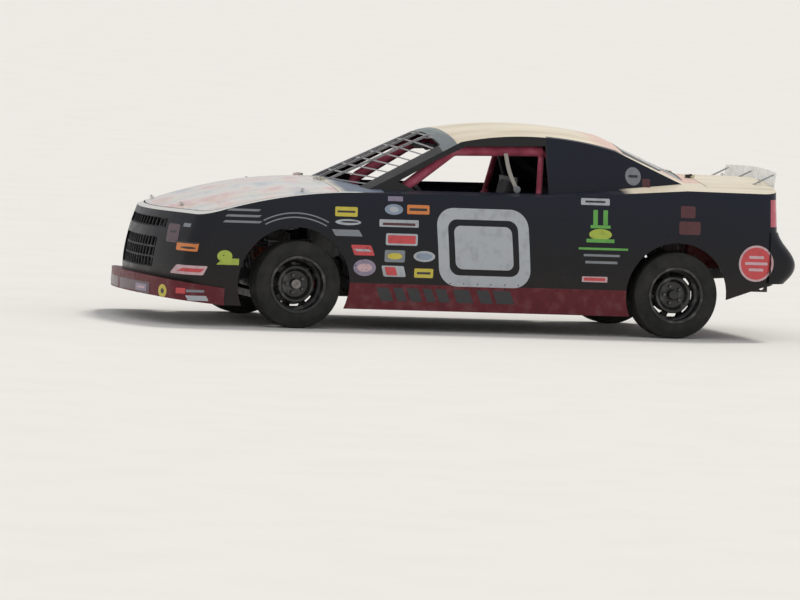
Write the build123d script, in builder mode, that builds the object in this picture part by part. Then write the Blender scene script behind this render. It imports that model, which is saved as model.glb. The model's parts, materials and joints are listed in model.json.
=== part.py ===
from build123d import *
import os

os.makedirs("parts", exist_ok=True)

# A stock race coupe, in millimetres. X points forward, Y to the car's left, Z up.
# The ground is Z = 0, and X = 0 is half way between the nose lip and the tail bumper.

# Overall layout
wheelbase = 2810
front_overhang = 1090
rear_overhang = 935
body_half_width = 925
hub_height = 312
wheel_centre_y = 795

front_axle_x = (wheelbase + front_overhang + rear_overhang) / 2 - front_overhang
rear_axle_x = front_axle_x - wheelbase

# Panels
panel_wall = 14
lid_gap = 6
far = 3000

# Stations along the body, as distances from the front or the rear axle
nose_split_x = front_axle_x + 545
hood_rear_x = front_axle_x - 275
door_front_x = front_axle_x - 475
door_rear_x = front_axle_x - 1955
deck_front_x = rear_axle_x - 255
tail_split_x = rear_axle_x - 690
rocker_top = 337
sill_height = 965

# Plan outlines of the lower body, from the rocker's edge up
# Columns: height, half width, nose reach past the front axle, tail reach past the rear axle
body_levels = (
    (150, -27, 985, 770),
    (400, -8, 1012, 800),
    (620, 0, 973, 815),
    (790, -7, 920, 815),
    (1200, -56, 780, 810),
)
nose_bow = 216
tail_bow = 60
bumper_bow = 25
nose_corner = 170
tail_corner = 130


def plan_outline(height, half_width, nose_x, tail_x, bow=tail_bow):
    """The body seen from above at one height: bowed nose and tail, rounded corners, straight sides."""
    with BuildSketch(Plane.XY.offset(height)) as outline:
        with BuildLine():
            ThreePointArc(
                (nose_x - nose_bow, -half_width), (nose_x, 0), (nose_x - nose_bow, half_width)
            )
            Line((nose_x - nose_bow, half_width), (tail_x + bow, half_width))
            ThreePointArc((tail_x + bow, half_width), (tail_x, 0), (tail_x + bow, -half_width))
            Line((tail_x + bow, -half_width), (nose_x - nose_bow, -half_width))
        make_face()
        fillet(outline.vertices().group_by(Axis.X)[-1], nose_corner)
        fillet(outline.vertices().group_by(Axis.X)[0], tail_corner)
    return outline.sketch


# Top line of the lower body in side view, at the centre and at the side
# Columns: X, height at the centre, height at the side
top_front = (front_axle_x + 1120, 687, 619)
top_hood = (front_axle_x + 303, 986, 893)
top_cowl = (front_axle_x - 400, 1046, 975)
top_sill = (rear_axle_x + 960, 1060, 985)
top_deck = (rear_axle_x - 59, 1150, 1057)
top_tail = (rear_axle_x - 1200, 1142, 1050)
underside = -200


def top_profile(side, inset):
    """The side view under the top line, for the centre (column 1) or the side (column 2)."""
    points = [
        (row[0], row[side] - inset)
        for row in (top_front, top_hood, top_cowl, top_sill, top_deck, top_tail)
    ]
    front, hood_mid, cowl_point, sill_point, deck_point, tail_point = points
    with BuildLine() as outline:
        ThreePointArc(front, hood_mid, cowl_point)
        Polyline(cowl_point, sill_point, deck_point, tail_point)
        Polyline(tail_point, (tail_point[0], underside), (front[0], underside), front)
    return outline.line


open_below = 10


def body_form(inset):
    """The lower body as a solid, each surface set in by the inset and open to the ground when inset."""
    with BuildPart() as crowned:
        for y, side in ((-body_half_width, 2), (0, 1), (body_half_width, 2)):
            with BuildSketch(Plane.XZ.offset(-y)):
                add(top_profile(side, inset))
                make_face()
        loft()
    with BuildPart() as form:
        for height, narrower, nose_reach, tail_reach in body_levels:
            below = open_below if inset and height == body_levels[0][0] else 0
            add(
                plan_outline(
                    height - below,
                    body_half_width + narrower - inset,
                    front_axle_x + nose_reach - inset,
                    rear_axle_x - tail_reach + inset,
                )
            )
        loft()
        add(crowned.part, mode=Mode.INTERSECT)
    return form.part


def slab(x_range, y_range, z_range):
    """A box between two corners, used as a cutter or as a plain plate."""
    lengths = [high - low for low, high in (x_range, y_range, z_range)]
    middles = [(high + low) / 2 for low, high in (x_range, y_range, z_range)]
    with BuildPart() as block:
        with Locations(tuple(middles)):
            Box(*lengths)
    return block.part


def side_cut(points, y_range=(-far, far)):
    """A prism through the car from side to side; the points are X and Z."""
    with BuildPart() as prism:
        with BuildSketch(Plane.XZ.offset(-y_range[1])):
            with BuildLine():
                Polyline(*points, close=True)
            make_face()
        extrude(amount=y_range[1] - y_range[0])
    return prism.part


def plan_cut(points, z_range=(0, far)):
    """A prism standing on a plan outline; the points are X and Y."""
    with BuildPart() as prism:
        with BuildSketch(Plane.XY.offset(z_range[0])):
            with BuildLine():
                Polyline(*points, close=True)
            make_face()
        extrude(amount=z_range[1] - z_range[0])
    return prism.part


def axle_disc(x, y_range, z, radius):
    """A disc or drum about a line across the car."""
    with BuildPart() as disc:
        with BuildSketch(Plane.XZ.offset(-y_range[1])):
            with Locations((x, z)):
                Circle(radius)
        extrude(amount=y_range[1] - y_range[0])
    return disc.part


def tube(points, radius, bend=0):
    """A round bar along straight runs, with bends of one radius."""
    with BuildPart() as bar:
        with BuildLine() as route:
            if bend:
                FilletPolyline(*points, radius=bend)
            else:
                Polyline(*points)
        with BuildSketch(Plane(origin=route.line @ 0, z_dir=route.line % 0)):
            Circle(radius)
        sweep(transition=Transition.RIGHT)
    return bar.part


def beam(start, end, width, height):
    """A rectangular tube between two points, half its width longer at each end so that joints close."""
    axis = Vector(*end) - Vector(*start)
    across = Vector(0, 0, 1).cross(axis).normalized()
    middle = (Vector(*start) + Vector(*end)) / 2
    with BuildPart() as bar:
        with BuildSketch(Plane(origin=middle, x_dir=across, z_dir=axis.normalized())):
            Rectangle(width, height)
        extrude(amount=(axis.length + width) / 2, both=True)
    return bar.part


def both_sides(piece):
    """A piece on the left and its mirror image on the right."""
    return [piece, mirror(piece, about=Plane.XZ)]


def write(piece, name):
    """Labels one finished piece and writes its file."""
    piece.label = name
    export_step(piece, "parts/" + name + ".step")


# Body shells
outer_body = body_form(0)
inner_body = body_form(panel_wall)

# Greenhouse: the roof and pillars above the body's shoulder
# Columns: X and height at the centre, X and height at the line where the sides would meet the shoulder
roof_rows = (
    (front_axle_x + 54, 850, front_axle_x - 260, 850),
    (front_axle_x - 1142, 1415, front_axle_x - 1280, 1316),
    (front_axle_x - 1755, 1480, front_axle_x - 1755, 1358),
    (rear_axle_x + 421, 1418, rear_axle_x + 395, 1246),
    (rear_axle_x - 925, 850, rear_axle_x - 528, 850),
)
# Half widths of the greenhouse in plan at two heights
# Columns: height, front, middle, rear
greenhouse_levels = ((850, 790, 835, 700), (1500, 549, 603, 530))
greenhouse_front_x = front_axle_x - 280
greenhouse_rear_x = rear_axle_x - 300


def greenhouse_form(inset):
    """The cabin above the shoulder as a solid: sloping sides under a crowned roof line."""
    with BuildPart() as crowned:
        for y, side in ((-greenhouse_levels[0][2], 1), (0, 0), (greenhouse_levels[0][2], 1)):
            front, header, crown, tail, rear = [row[side * 2:side * 2 + 2] for row in roof_rows]
            with BuildSketch(Plane.XZ.offset(-y)):
                with BuildLine():
                    Line(front, header)
                    ThreePointArc(header, crown, tail)
                    Polyline(tail, rear, front)
                make_face()
                if inset:
                    offset(amount=-inset, kind=Kind.INTERSECTION)
        loft()
    with BuildPart() as form:
        for height, front_half, mid_half, rear_half in greenhouse_levels:
            half_widths = [half - inset for half in (front_half, mid_half, rear_half)]
            with BuildSketch(Plane.XY.offset(height)):
                with BuildLine():
                    left = ThreePointArc(
                        (greenhouse_front_x, half_widths[0]),
                        ((greenhouse_front_x + greenhouse_rear_x) / 2, half_widths[1]),
                        (greenhouse_rear_x, half_widths[2]),
                    )
                    Line(left @ 1, (greenhouse_rear_x, -half_widths[2]))
                    ThreePointArc(
                        (greenhouse_rear_x, -half_widths[2]),
                        ((greenhouse_front_x + greenhouse_rear_x) / 2, -half_widths[1]),
                        (greenhouse_front_x, -half_widths[0]),
                    )
                    Line((greenhouse_front_x, -half_widths[0]), left @ 0)
                make_face()
        loft()
        add(crowned.part, mode=Mode.INTERSECT)
    return form.part


outer_roof = greenhouse_form(0)
inner_roof = greenhouse_form(panel_wall)

# Cut-outs in the shells
front_arch_radius = 410
front_arch_x = front_axle_x + 35
rear_arch_radius = 378
valance_low_edge = ((nose_split_x, 150), (front_axle_x + 1200, 212))
valance_high_edge = ((nose_split_x, 272), (front_axle_x + 1200, 352))
# Low edge of the tail from the rear arch back, columns: X, height
tail_low_edge = (
    (rear_axle_x - 300, 262),
    (rear_axle_x - 640, 385),
    (rear_axle_x - 800, 415),
    (rear_axle_x - 1200, 415),
)

arches = [
    axle_disc(front_arch_x, (-far, far), hub_height, front_arch_radius),
    axle_disc(rear_axle_x, (-far, far), hub_height, rear_arch_radius),
]
under_nose = side_cut(
    [*valance_low_edge, (valance_low_edge[-1][0], 0), (valance_low_edge[0][0], 0)]
)
under_tail = side_cut(
    [*tail_low_edge, (tail_low_edge[-1][0], 0), (tail_low_edge[0][0], 0)]
)

# Lids
# The side margin leaves the fender top, the front gap lets the hood's lip swing forward as it lifts.
hood_margin = 50
hood_front_gap = 10
deck_half_width = 720
lid_level = body_levels[3]
lid_base = 700


def lid_column(half_width, nose_x, tail_x, x_range, low_edge=0):
    """The upright column that a lid's outline stands on."""
    with BuildPart() as column:
        add(plan_outline(lid_base, half_width, nose_x, tail_x))
        extrude(amount=far)
        add(slab(x_range, (-far, far), (low_edge, far)), mode=Mode.INTERSECT)
    return column.part


body_nose_x = front_axle_x + lid_level[2]
body_tail_x = rear_axle_x - lid_level[3]
hood_half_width = body_half_width + lid_level[1] - hood_margin
hood_column = lid_column(
    hood_half_width, body_nose_x - hood_margin, body_tail_x, (hood_rear_x, far)
)
hood_opening = lid_column(
    hood_half_width + lid_gap,
    body_nose_x - hood_margin + hood_front_gap,
    body_tail_x,
    (hood_rear_x - lid_gap, far),
)
# The deck lid wraps over the tail's top edge, down to the lid's lip.
deck_lip = 1045
deck_column = slab((-far, deck_front_x), (-deck_half_width, deck_half_width), (deck_lip, far))
deck_opening = slab(
    (-far, deck_front_x + lid_gap),
    (-deck_half_width - lid_gap, deck_half_width + lid_gap),
    (deck_lip - lid_gap, far),
)

with BuildPart() as whole_skin:
    add(outer_body)
    add(inner_body, mode=Mode.SUBTRACT)
    add(arches, mode=Mode.SUBTRACT)
    add([under_nose, under_tail], mode=Mode.SUBTRACT)
    add(inner_roof, mode=Mode.SUBTRACT)

with BuildPart() as fixed_skin:
    add(whole_skin.part)
    add([hood_opening, deck_opening], mode=Mode.SUBTRACT)


def panel(name, region, removed=(), added=()):
    """A fixed body panel: the part of the skin inside a region."""
    with BuildPart() as piece:
        add(fixed_skin.part)
        add(region, mode=Mode.INTERSECT)
        for cutter in removed:
            add(cutter, mode=Mode.SUBTRACT)
        for extra in added:
            add(extra)
    write(piece.part, name)
    return piece.part


# Nose fascia with its two grille openings, columns: half width, low edge, high edge
grille_openings = ((450, 385, 600), (520, 668, 736))
grille_flange = 18
grille_back_x = front_axle_x + 700
nose_region = slab((nose_split_x, far), (-far, far), (0, far))


def grille_cut(margin):
    """Both grille openings as cutters through the nose, made larger by a margin."""
    return [
        slab((grille_back_x, far), (-half - margin, half + margin), (low - margin, high + margin))
        for half, low, high in grille_openings
    ]


panel("nose_fascia", nose_region, grille_cut(0))

# Grille: a flanged sheet behind the openings, pierced in rows of cells
grille_wall = 8
grille_cell_columns = 15
grille_cell_rows = (3, 1)
grille_bar = 12
grille_x = front_axle_x + 900
grille_depth = 500
with BuildPart() as grille_zone:
    add(grille_cut(grille_flange))
with BuildPart() as grille:
    add(inner_body)
    add(body_form(panel_wall + grille_wall), mode=Mode.SUBTRACT)
    add(grille_zone.part, mode=Mode.INTERSECT)
    for (half, low, high), rows in zip(grille_openings, grille_cell_rows):
        cell_width = 2 * half / grille_cell_columns
        cell_height = (high - low) / rows
        with Locations((grille_x, 0, (low + high) / 2)):
            with GridLocations(0, cell_width, 1, grille_cell_columns):
                for row in range(rows):
                    with Locations((0, 0, (row - (rows - 1) / 2) * cell_height)):
                        Box(
                            grille_depth,
                            cell_width - grille_bar,
                            cell_height - grille_bar,
                            mode=Mode.SUBTRACT,
                        )
write(grille.part, "grille")

# Front valance: a red lip round the nose, a band with a flange on top
valance_wall = 14


def valance_band(inset, drop):
    """The valance outline between its low edge and a line a drop below its high edge."""
    high_edge = [(x, z - drop) for x, z in valance_high_edge]
    with BuildPart() as band:
        reach = front_axle_x + front_overhang - inset
        add(plan_outline(0, body_half_width - inset, reach, rear_axle_x))
        extrude(amount=lid_base)
        add(side_cut([*valance_low_edge, *reversed(high_edge)]), mode=Mode.INTERSECT)
    return band.part


with BuildPart() as front_valance:
    add(valance_band(0, 0))
    add(valance_band(valance_wall, valance_wall), mode=Mode.SUBTRACT)
    add(outer_body, mode=Mode.SUBTRACT)
write(front_valance.part, "front_valance")

# Hinges of the two lids: straight pins just above the skin, one barrel half on each side of the gap
hinge_radius = 9
hinge_half_length = 30
hinge_play = 0.5
hood_hinge_y = 300
hood_hinge_x = hood_rear_x - lid_gap / 2
hood_hinge_z = 1052
deck_hinge_y = 300
deck_hinge_x = deck_front_x + lid_gap / 2
deck_hinge_z = 1158
leaf_length = 38
leaf_height = 24
leaf_rise = 3.6
leaf_setback = 2.5
barrel_bottom = 5.4


def hinge_leaf(x, z, y_range, toward):
    """A barrel half with its leaf, cut to sit on the skin; toward is 1 forward and -1 back."""
    with BuildPart() as leaf:
        add(axle_disc(x, y_range, z, hinge_radius))
        leaf_ends = sorted((x, x + toward * leaf_length))
        add(slab(leaf_ends, y_range, (z - leaf_height, z + leaf_rise)))
        gap_ends = sorted((x - toward * leaf_length, x + toward * (lid_gap / 2 + leaf_setback)))
        add(slab(gap_ends, y_range, (z - leaf_height, z - barrel_bottom)), mode=Mode.SUBTRACT)
        add(outer_body, mode=Mode.SUBTRACT)
    return leaf.part


def hinge_pair(x, z, y_centre, toward):
    """The leaves on both sides of the car for one half of each hinge."""
    inner = (y_centre - hinge_half_length, y_centre - hinge_play / 2)
    outer = (y_centre + hinge_play / 2, y_centre + hinge_half_length)
    y_range = inner if toward * x > 0 else outer
    return both_sides(hinge_leaf(x, z, y_range, toward))


hood_leaves = hinge_pair(hood_hinge_x, hood_hinge_z, hood_hinge_y, 1)
cowl_leaves = hinge_pair(hood_hinge_x, hood_hinge_z, hood_hinge_y, -1)
deck_leaves = hinge_pair(deck_hinge_x, deck_hinge_z, deck_hinge_y, -1)
filler_leaves = hinge_pair(deck_hinge_x, deck_hinge_z, deck_hinge_y, 1)

# Side panels, made on the left and mirrored
rocker_heights = (0, rocker_top)
cowl_depth = 340
cowl_region = slab(
    (hood_rear_x - cowl_depth, hood_rear_x), (-hood_half_width, hood_half_width), (lid_base, far)
)
fender_region = slab((door_front_x, nose_split_x), (0, far), (0, far))
door_region = slab((door_rear_x, door_front_x), (0, far), (rocker_top, far))
quarter_region = slab((tail_split_x, door_rear_x), (0, far), (0, far))
filler_half = 600
filler_region = slab((deck_front_x, rear_axle_x), (-filler_half, filler_half), (lid_base, far))
rocker_span = slab((rear_axle_x, front_axle_x), (-far, far), rocker_heights)

# Greenhouse openings
roof_seam_y = 600
pillar_x = rear_axle_x + 945
side_window = (
    (front_axle_x - 905, sill_height - 40),
    (front_axle_x - 905, 985),
    (front_axle_x - 745, 1060),
    (front_axle_x - 1050, 1228),
    (front_axle_x - 1265, 1325),
    (pillar_x + 10, 1345),
    (pillar_x, sill_height - 40),
)
windscreen_opening = (
    (front_axle_x - 105, 715),
    (front_axle_x - 1100, 545),
    (front_axle_x - 1100, -545),
    (front_axle_x - 105, -715),
)
backlight_opening = (
    (rear_axle_x + 330, 470),
    (rear_axle_x - 140, 565),
    (rear_axle_x - 140, -565),
    (rear_axle_x + 330, -470),
)

with BuildPart() as greenhouse_skin:
    add(outer_roof)
    add(inner_roof, mode=Mode.SUBTRACT)
    add(outer_body, mode=Mode.SUBTRACT)
    add(side_cut(side_window), mode=Mode.SUBTRACT)
    add(plan_cut(windscreen_opening), mode=Mode.SUBTRACT)
    add(plan_cut(backlight_opening), mode=Mode.SUBTRACT)

sail_region = slab((-far, pillar_x), (roof_seam_y, far), (0, far))
with BuildPart() as sail:
    add(greenhouse_skin.part)
    add(sail_region, mode=Mode.INTERSECT)

left_fender = panel("left_fender", fender_region, (cowl_region, rocker_span))
write(mirror(left_fender, about=Plane.XZ), "right_fender")
left_door_side = panel("left_door_side", door_region, (cowl_region,))
write(mirror(left_door_side, about=Plane.XZ), "right_door_side")
left_quarter = panel("left_quarter", quarter_region, (filler_region, rocker_span), (sail.part,))
write(mirror(left_quarter, about=Plane.XZ), "right_quarter")
panel("cowl", cowl_region, (), cowl_leaves)

with BuildPart() as filler:
    add(fixed_skin.part)
    add(filler_region, mode=Mode.INTERSECT)
with BuildPart() as roof:
    add(greenhouse_skin.part)
    add(both_sides(sail_region), mode=Mode.SUBTRACT)
    add(filler.part)
    add(filler_leaves)
write(roof.part, "roof")

with BuildPart() as rockers:
    add(whole_skin.part)
    add(rocker_span, mode=Mode.INTERSECT)
write(rockers.part, "rockers")

# Rear window: a clear sheet let into its opening
window_setback = 4
window_sheet = 4
with BuildPart() as rear_window:
    add(greenhouse_form(window_setback))
    add(greenhouse_form(window_setback + window_sheet), mode=Mode.SUBTRACT)
    add(plan_cut(backlight_opening), mode=Mode.INTERSECT)
    add(outer_body, mode=Mode.SUBTRACT)
write(rear_window.part, "rear_window")

# Tail: cover with the rear corners, the bumper's bulge and two lamps
# Bumper outlines from its low edge up, columns: height, reach past the rear axle
bumper_levels = ((415, 852), (470, 905), (535, rear_overhang), (610, 916), (700, 845), (785, 795))
bumper_wall = 14
bumper_tuck = 1
lamp_low, lamp_high = 825, 1020
lamp_inner_y = 600
tail_region = slab((-far, tail_split_x), (-far, far), (0, far))


def bumper_form(inset):
    """The bumper as a solid, its outline set in by the inset."""
    with BuildPart() as form:
        for height, reach in bumper_levels:
            half_width = body_half_width - bumper_tuck - inset
            add(plan_outline(height, half_width, front_axle_x, rear_axle_x - reach + inset, bumper_bow))
        loft()
        add(tail_region, mode=Mode.INTERSECT)
    return form.part


with BuildPart() as bumper:
    add(bumper_form(0))
    add(bumper_form(bumper_wall), mode=Mode.SUBTRACT)
    add(outer_body, mode=Mode.SUBTRACT)

lamp_zone = both_sides(slab((-far, tail_split_x), (lamp_inner_y, far), (lamp_low, lamp_high)))
panel("tail_cover", tail_region, (lamp_zone,), (bumper.part,))
with BuildPart() as lamp_block:
    add(lamp_zone)
with BuildPart() as tail_lamps:
    add(fixed_skin.part)
    add(lamp_block.part, mode=Mode.INTERSECT)
write(tail_lamps.part, "tail_lamps")

with BuildPart() as hood:
    add(whole_skin.part)
    add(hood_column, mode=Mode.INTERSECT)
    add(hood_leaves)
write(hood.part, "hood")

with BuildPart() as deck_lid:
    add(whole_skin.part)
    add(deck_column, mode=Mode.INTERSECT)
    add(deck_leaves)
write(deck_lid.part, "deck_lid")

# Spoiler: a clear blade on the lid's rear lip, leaning back, on three rods
spoiler_half = 600
spoiler_wall = 6
spoiler_lean = 30
spoiler_foot = 1062
spoiler_end_top = 1205
spoiler_mid_top = 1222
spoiler_loft_top = 1300
brace_radius = 6
brace_top = 1190
brace_fall = 95
brace_length = 190
brace_ys = (-540, 0, 540)


def spoiler_form(inset):
    """The space ahead of the blade's back as a solid, set in by the inset."""
    tail_x = body_tail_x - spoiler_wall + inset
    with BuildPart() as form:
        add(plan_outline(deck_lip, body_half_width, front_axle_x, tail_x))
        add(plan_outline(spoiler_loft_top, body_half_width, front_axle_x, tail_x - spoiler_lean))
        loft()
    return form.part


with BuildPart() as spoiler:
    add(spoiler_form(0))
    add(spoiler_form(spoiler_wall), mode=Mode.SUBTRACT)
    with BuildSketch(Plane.YZ.offset(-far)):
        with BuildLine():
            edge = ThreePointArc(
                (-spoiler_half, spoiler_end_top), (0, spoiler_mid_top), (spoiler_half, spoiler_end_top)
            )
            Polyline(edge @ 1, (spoiler_half, spoiler_foot), (-spoiler_half, spoiler_foot), edge @ 0)
        make_face()
    extrude(amount=far, mode=Mode.INTERSECT)
    add(outer_body, mode=Mode.SUBTRACT)
write(spoiler.part, "spoiler")

with BuildPart() as spoiler_braces:
    for y in brace_ys:
        brace_start = (body_tail_x, y, brace_top)
        brace_end = (body_tail_x + brace_length, y, brace_top - brace_fall)
        add(tube((brace_start, brace_end), brace_radius))
    add(spoiler_form(spoiler_wall), mode=Mode.INTERSECT)
    add(outer_body, mode=Mode.SUBTRACT)
write(spoiler_braces.part, "spoiler_braces")

# Windscreen guard: long bars up the screen, curved cross bars between the pillars
guard_bar_size = 17
cross_bar_size = 9
guard_bar_ys = (-220, 0, 220)
cross_bar_count = 8
guard_foot = (front_axle_x - 300, 1018)
guard_head = (front_axle_x - 1118, 1402)
guard_half = 640
# The screen falls back and down towards the pillars: at its foot, and how that changes up to its head
guard_sweep = (190, -105)
guard_drop = (10, 50)
guard_overrun = (-0.05, 1.03)
cross_bar_start = 0.6


def guard_point(share, y):
    """A point in the screen's surface, a share of the way up from its foot."""
    x = guard_foot[0] + share * (guard_head[0] - guard_foot[0])
    z = guard_foot[1] + share * (guard_head[1] - guard_foot[1])
    edge = (y / guard_half) ** 2
    sweep = guard_sweep[0] + guard_sweep[1] * share
    drop = guard_drop[0] + guard_drop[1] * share
    return (x - edge * sweep, y, z - edge * drop)


def cross_bar(share):
    """A thin bar from pillar to pillar, bowed forward."""
    with BuildPart() as bar:
        with BuildLine() as bow:
            ThreePointArc(
                guard_point(share, -guard_half), guard_point(share, 0), guard_point(share, guard_half)
            )
        with BuildSketch(Plane(origin=bow.line @ 0, z_dir=bow.line % 0)):
            Rectangle(cross_bar_size, cross_bar_size)
        sweep()
    return bar.part


with BuildPart() as windscreen_guard:
    for y in guard_bar_ys:
        foot, head = [guard_point(share, y) for share in guard_overrun]
        add(beam(foot, head, guard_bar_size, guard_bar_size))
    for number in range(cross_bar_count):
        add(cross_bar((number + cross_bar_start) / cross_bar_count))
    add(plan_cut(windscreen_opening), mode=Mode.INTERSECT)
    add(outer_body, mode=Mode.SUBTRACT)
write(windscreen_guard.part, "windscreen_guard")

# Frame: two rails with kick-ups and spring towers
# Rail route on the left, columns: X, Y, height of the centre line
rail_width = 50
rail_height = 75
front_rail_y = 400
rail_route = (
    (front_axle_x + 800, front_rail_y, 360),
    (front_axle_x - 410, front_rail_y, 360),
    (front_axle_x - 610, 645, 188),
    (rear_axle_x + 590, 645, 188),
    (rear_axle_x + 350, 500, 455),
    (rear_axle_x - 330, 500, 455),
    (rear_axle_x - 715, 440, 480),
)
floor_bottom = rail_route[3][2] + rail_height / 2
floor_wall = 6
floor_top = floor_bottom + floor_wall
firewall_x = front_axle_x - 530
bulkhead_x = rear_axle_x + 545
cross_height = 50
# Columns: X, half length, height of the centre line, width along the car
crossmember_rows = (
    (front_axle_x + 770, 400, 360, 60),
    (front_axle_x + 680, 400, 360, 60),
    (front_axle_x, 400, 195, 300),
    (front_axle_x - 985, 645, 188, 60),
    (rear_axle_x + 640, 645, 188, 60),
    (rear_axle_x - 200, 500, 455, 50),
    (rear_axle_x - 690, 450, 477, 50),
)
outrigger_xs = (front_axle_x - 640, front_axle_x - 1280, rear_axle_x + 640)
outrigger_half = 30
side_rail_y = rail_route[2][1]
tower_half_length = 130
tower_heights = (170, 490)
tow_eye_radius = 22
tow_eye_wall = 12
tow_eye_half = 45
tow_eye_height = 72
front_eye_x = front_axle_x + 860
front_eye_z = rail_route[0][2] - cross_height / 2
rear_eye_x = rear_axle_x - 800
rear_eye_y = 400
rear_eye_z = 364

with BuildPart() as frame:
    for start, end in zip(rail_route, rail_route[1:]):
        add(both_sides(beam(start, end, rail_width, rail_height)))
    tower_x = (front_axle_x - tower_half_length, front_axle_x + tower_half_length)
    tower_y = (front_rail_y - rail_width / 2, front_rail_y + rail_width / 2)
    add(both_sides(slab(tower_x, tower_y, tower_heights)))
write(frame.part, "frame")

# Crossmembers between the rails, outriggers to the rockers and the two tow eyes
outrigger_heights = (floor_bottom - cross_height, floor_bottom)
with BuildPart() as outriggers:
    for x in outrigger_xs:
        add(slab((x - outrigger_half, x + outrigger_half), (side_rail_y, far), outrigger_heights))
    add(inner_body, mode=Mode.INTERSECT)

with BuildPart() as crossmembers:
    for x, half, z, width in crossmember_rows:
        add(slab((x - width / 2, x + width / 2), (-half, half), (z - cross_height / 2, z + cross_height / 2)))
    add(both_sides(outriggers.part))
    add(
        slab(
            (crossmember_rows[0][0], front_eye_x + tow_eye_half),
            (-tow_eye_half, tow_eye_half),
            (front_eye_z, front_eye_z + tow_eye_wall),
        )
    )
    with Locations((front_eye_x, 0, front_eye_z)):
        Cylinder(tow_eye_radius, 4 * tow_eye_wall, mode=Mode.SUBTRACT)
    last_x, last_half, last_z, last_width = crossmember_rows[-1]
    eye_y = (rear_eye_y, rear_eye_y + tow_eye_wall)
    eye_low = rear_eye_z - tow_eye_height / 2
    add(slab((rear_eye_x - tow_eye_half, last_x), eye_y, (eye_low, eye_low + tow_eye_height)))
    add(slab((last_x - last_width, last_x), eye_y, (eye_low, last_z)))
    add(axle_disc(rear_eye_x, (0, last_half), rear_eye_z, tow_eye_radius), mode=Mode.SUBTRACT)
    add(frame.part, mode=Mode.SUBTRACT)
write(crossmembers.part, "crossmembers")

# Roll cage of round tube, feet on the floor; runs on the left are mirrored
cage_radius = 22
pad_radius = 38
hoop_x = pillar_x + 60
leg_x = front_axle_x - 800
cage_foot_y = 690
hoop_elbow = (hoop_x, 705, 940)
hoop_shoulder = (hoop_x - 50, 560, 1305)
halo_front = (front_axle_x - 1195, 560, 1288)
main_hoop = (
    (hoop_x, cage_foot_y, floor_top),
    hoop_elbow,
    hoop_shoulder,
    (hoop_shoulder[0], -hoop_shoulder[1], hoop_shoulder[2]),
    (hoop_x, -hoop_elbow[1], hoop_elbow[2]),
    (hoop_x, -cage_foot_y, floor_top),
)
side_bar = ((leg_x, cage_foot_y, floor_top), (leg_x, cage_foot_y, 1012), halo_front, hoop_shoulder)
rear_stay = (hoop_shoulder, (rear_axle_x - 150, 500, rail_route[4][2] + rail_height / 2))
cage_bend = 110
pad_bend = 90
hoop_pad_share = 0.8
hoop_pad_end = [low + hoop_pad_share * (high - low) for low, high in zip(hoop_elbow, hoop_shoulder)]
door_bar_heights = (370, 550, 730)
door_bar_rear_y = 697
# Bars across the cabin, columns: X, height, half length
cage_cross_bars = (
    (leg_x, 860, cage_foot_y),
    (halo_front[0], halo_front[2], halo_front[1]),
    (hoop_x, 780, 700),
)
cage_brace = ((hoop_x, cage_foot_y, 260), (hoop_shoulder[0] + 6, -520, 1262))
with BuildPart() as roll_cage:
    add(tube(main_hoop, cage_radius, cage_bend))
    add(both_sides(tube(side_bar, pad_radius, pad_bend)))
    add(both_sides(tube((hoop_elbow, hoop_pad_end), pad_radius)))
    add(both_sides(tube(rear_stay, cage_radius)))
    for z in door_bar_heights:
        door_bar = ((leg_x, cage_foot_y, z), (hoop_x, door_bar_rear_y, z))
        add(both_sides(tube(door_bar, cage_radius)))
    for x, z, half in cage_cross_bars:
        add(tube(((x, -half, z), (x, half, z)), cage_radius))
    add(tube(cage_brace, cage_radius))
    add(slab((-far, far), (-far, far), (-far, floor_top)), mode=Mode.SUBTRACT)
    add(frame.part, mode=Mode.SUBTRACT)
write(roll_cage.part, "roll_cage")

# Floor pan with its tunnel, the firewall and the rear bulkhead with its shelf
tunnel_half = 185
tunnel_side_top = 300
tunnel_x = (bulkhead_x, firewall_x)
tunnel_overrun = 20
shelf_height = 1000
shelf_rear_x = rear_axle_x - 120
firewall_top = 935


def tunnel_form(inset):
    """The tunnel hump as a solid, from below the floor up."""
    half = tunnel_half - inset
    with BuildPart() as hump:
        with BuildSketch(Plane.YZ.offset(tunnel_x[0] - tunnel_overrun)):
            with BuildLine():
                crown = ThreePointArc(
                    (-half, tunnel_side_top), (0, tunnel_side_top + half), (half, tunnel_side_top)
                )
                Polyline(crown @ 1, (half, 0), (-half, 0), crown @ 0)
            make_face()
        extrude(amount=tunnel_x[1] - tunnel_x[0] + 2 * tunnel_overrun)
    return hump.part


inside_x = (bulkhead_x - floor_wall, firewall_x + floor_wall)
with BuildPart() as floor_pan:
    add(slab(inside_x, (-far, far), (floor_bottom, floor_top)))
    add(slab((firewall_x, firewall_x + floor_wall), (-far, far), (floor_bottom, firewall_top)))
    add(slab((bulkhead_x - floor_wall, bulkhead_x), (-far, far), (floor_bottom, shelf_height)))
    add(slab((shelf_rear_x, bulkhead_x), (-far, far), (shelf_height - floor_wall, shelf_height)))
    add(tunnel_form(0))
    add(tunnel_form(floor_wall), mode=Mode.SUBTRACT)
    add(slab((-far, far), (-far, far), (0, floor_bottom)), mode=Mode.SUBTRACT)
    add(slab((inside_x[1], far), (-far, far), (0, far)), mode=Mode.SUBTRACT)
    add(slab((-far, inside_x[0]), (-far, far), (0, tunnel_side_top + tunnel_half)), mode=Mode.SUBTRACT)
    add(inner_body, mode=Mode.INTERSECT)
    add([frame.part, roll_cage.part], mode=Mode.SUBTRACT)
    add(arches, mode=Mode.SUBTRACT)
write(floor_pan.part, "floor_pan")

# Seat: a bent shell with side bolsters on two runners
driver_y = 420
seat_half = 215
seat_wall = 12
seat_x = front_axle_x - 1500
seat_floor = floor_top + 60
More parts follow.
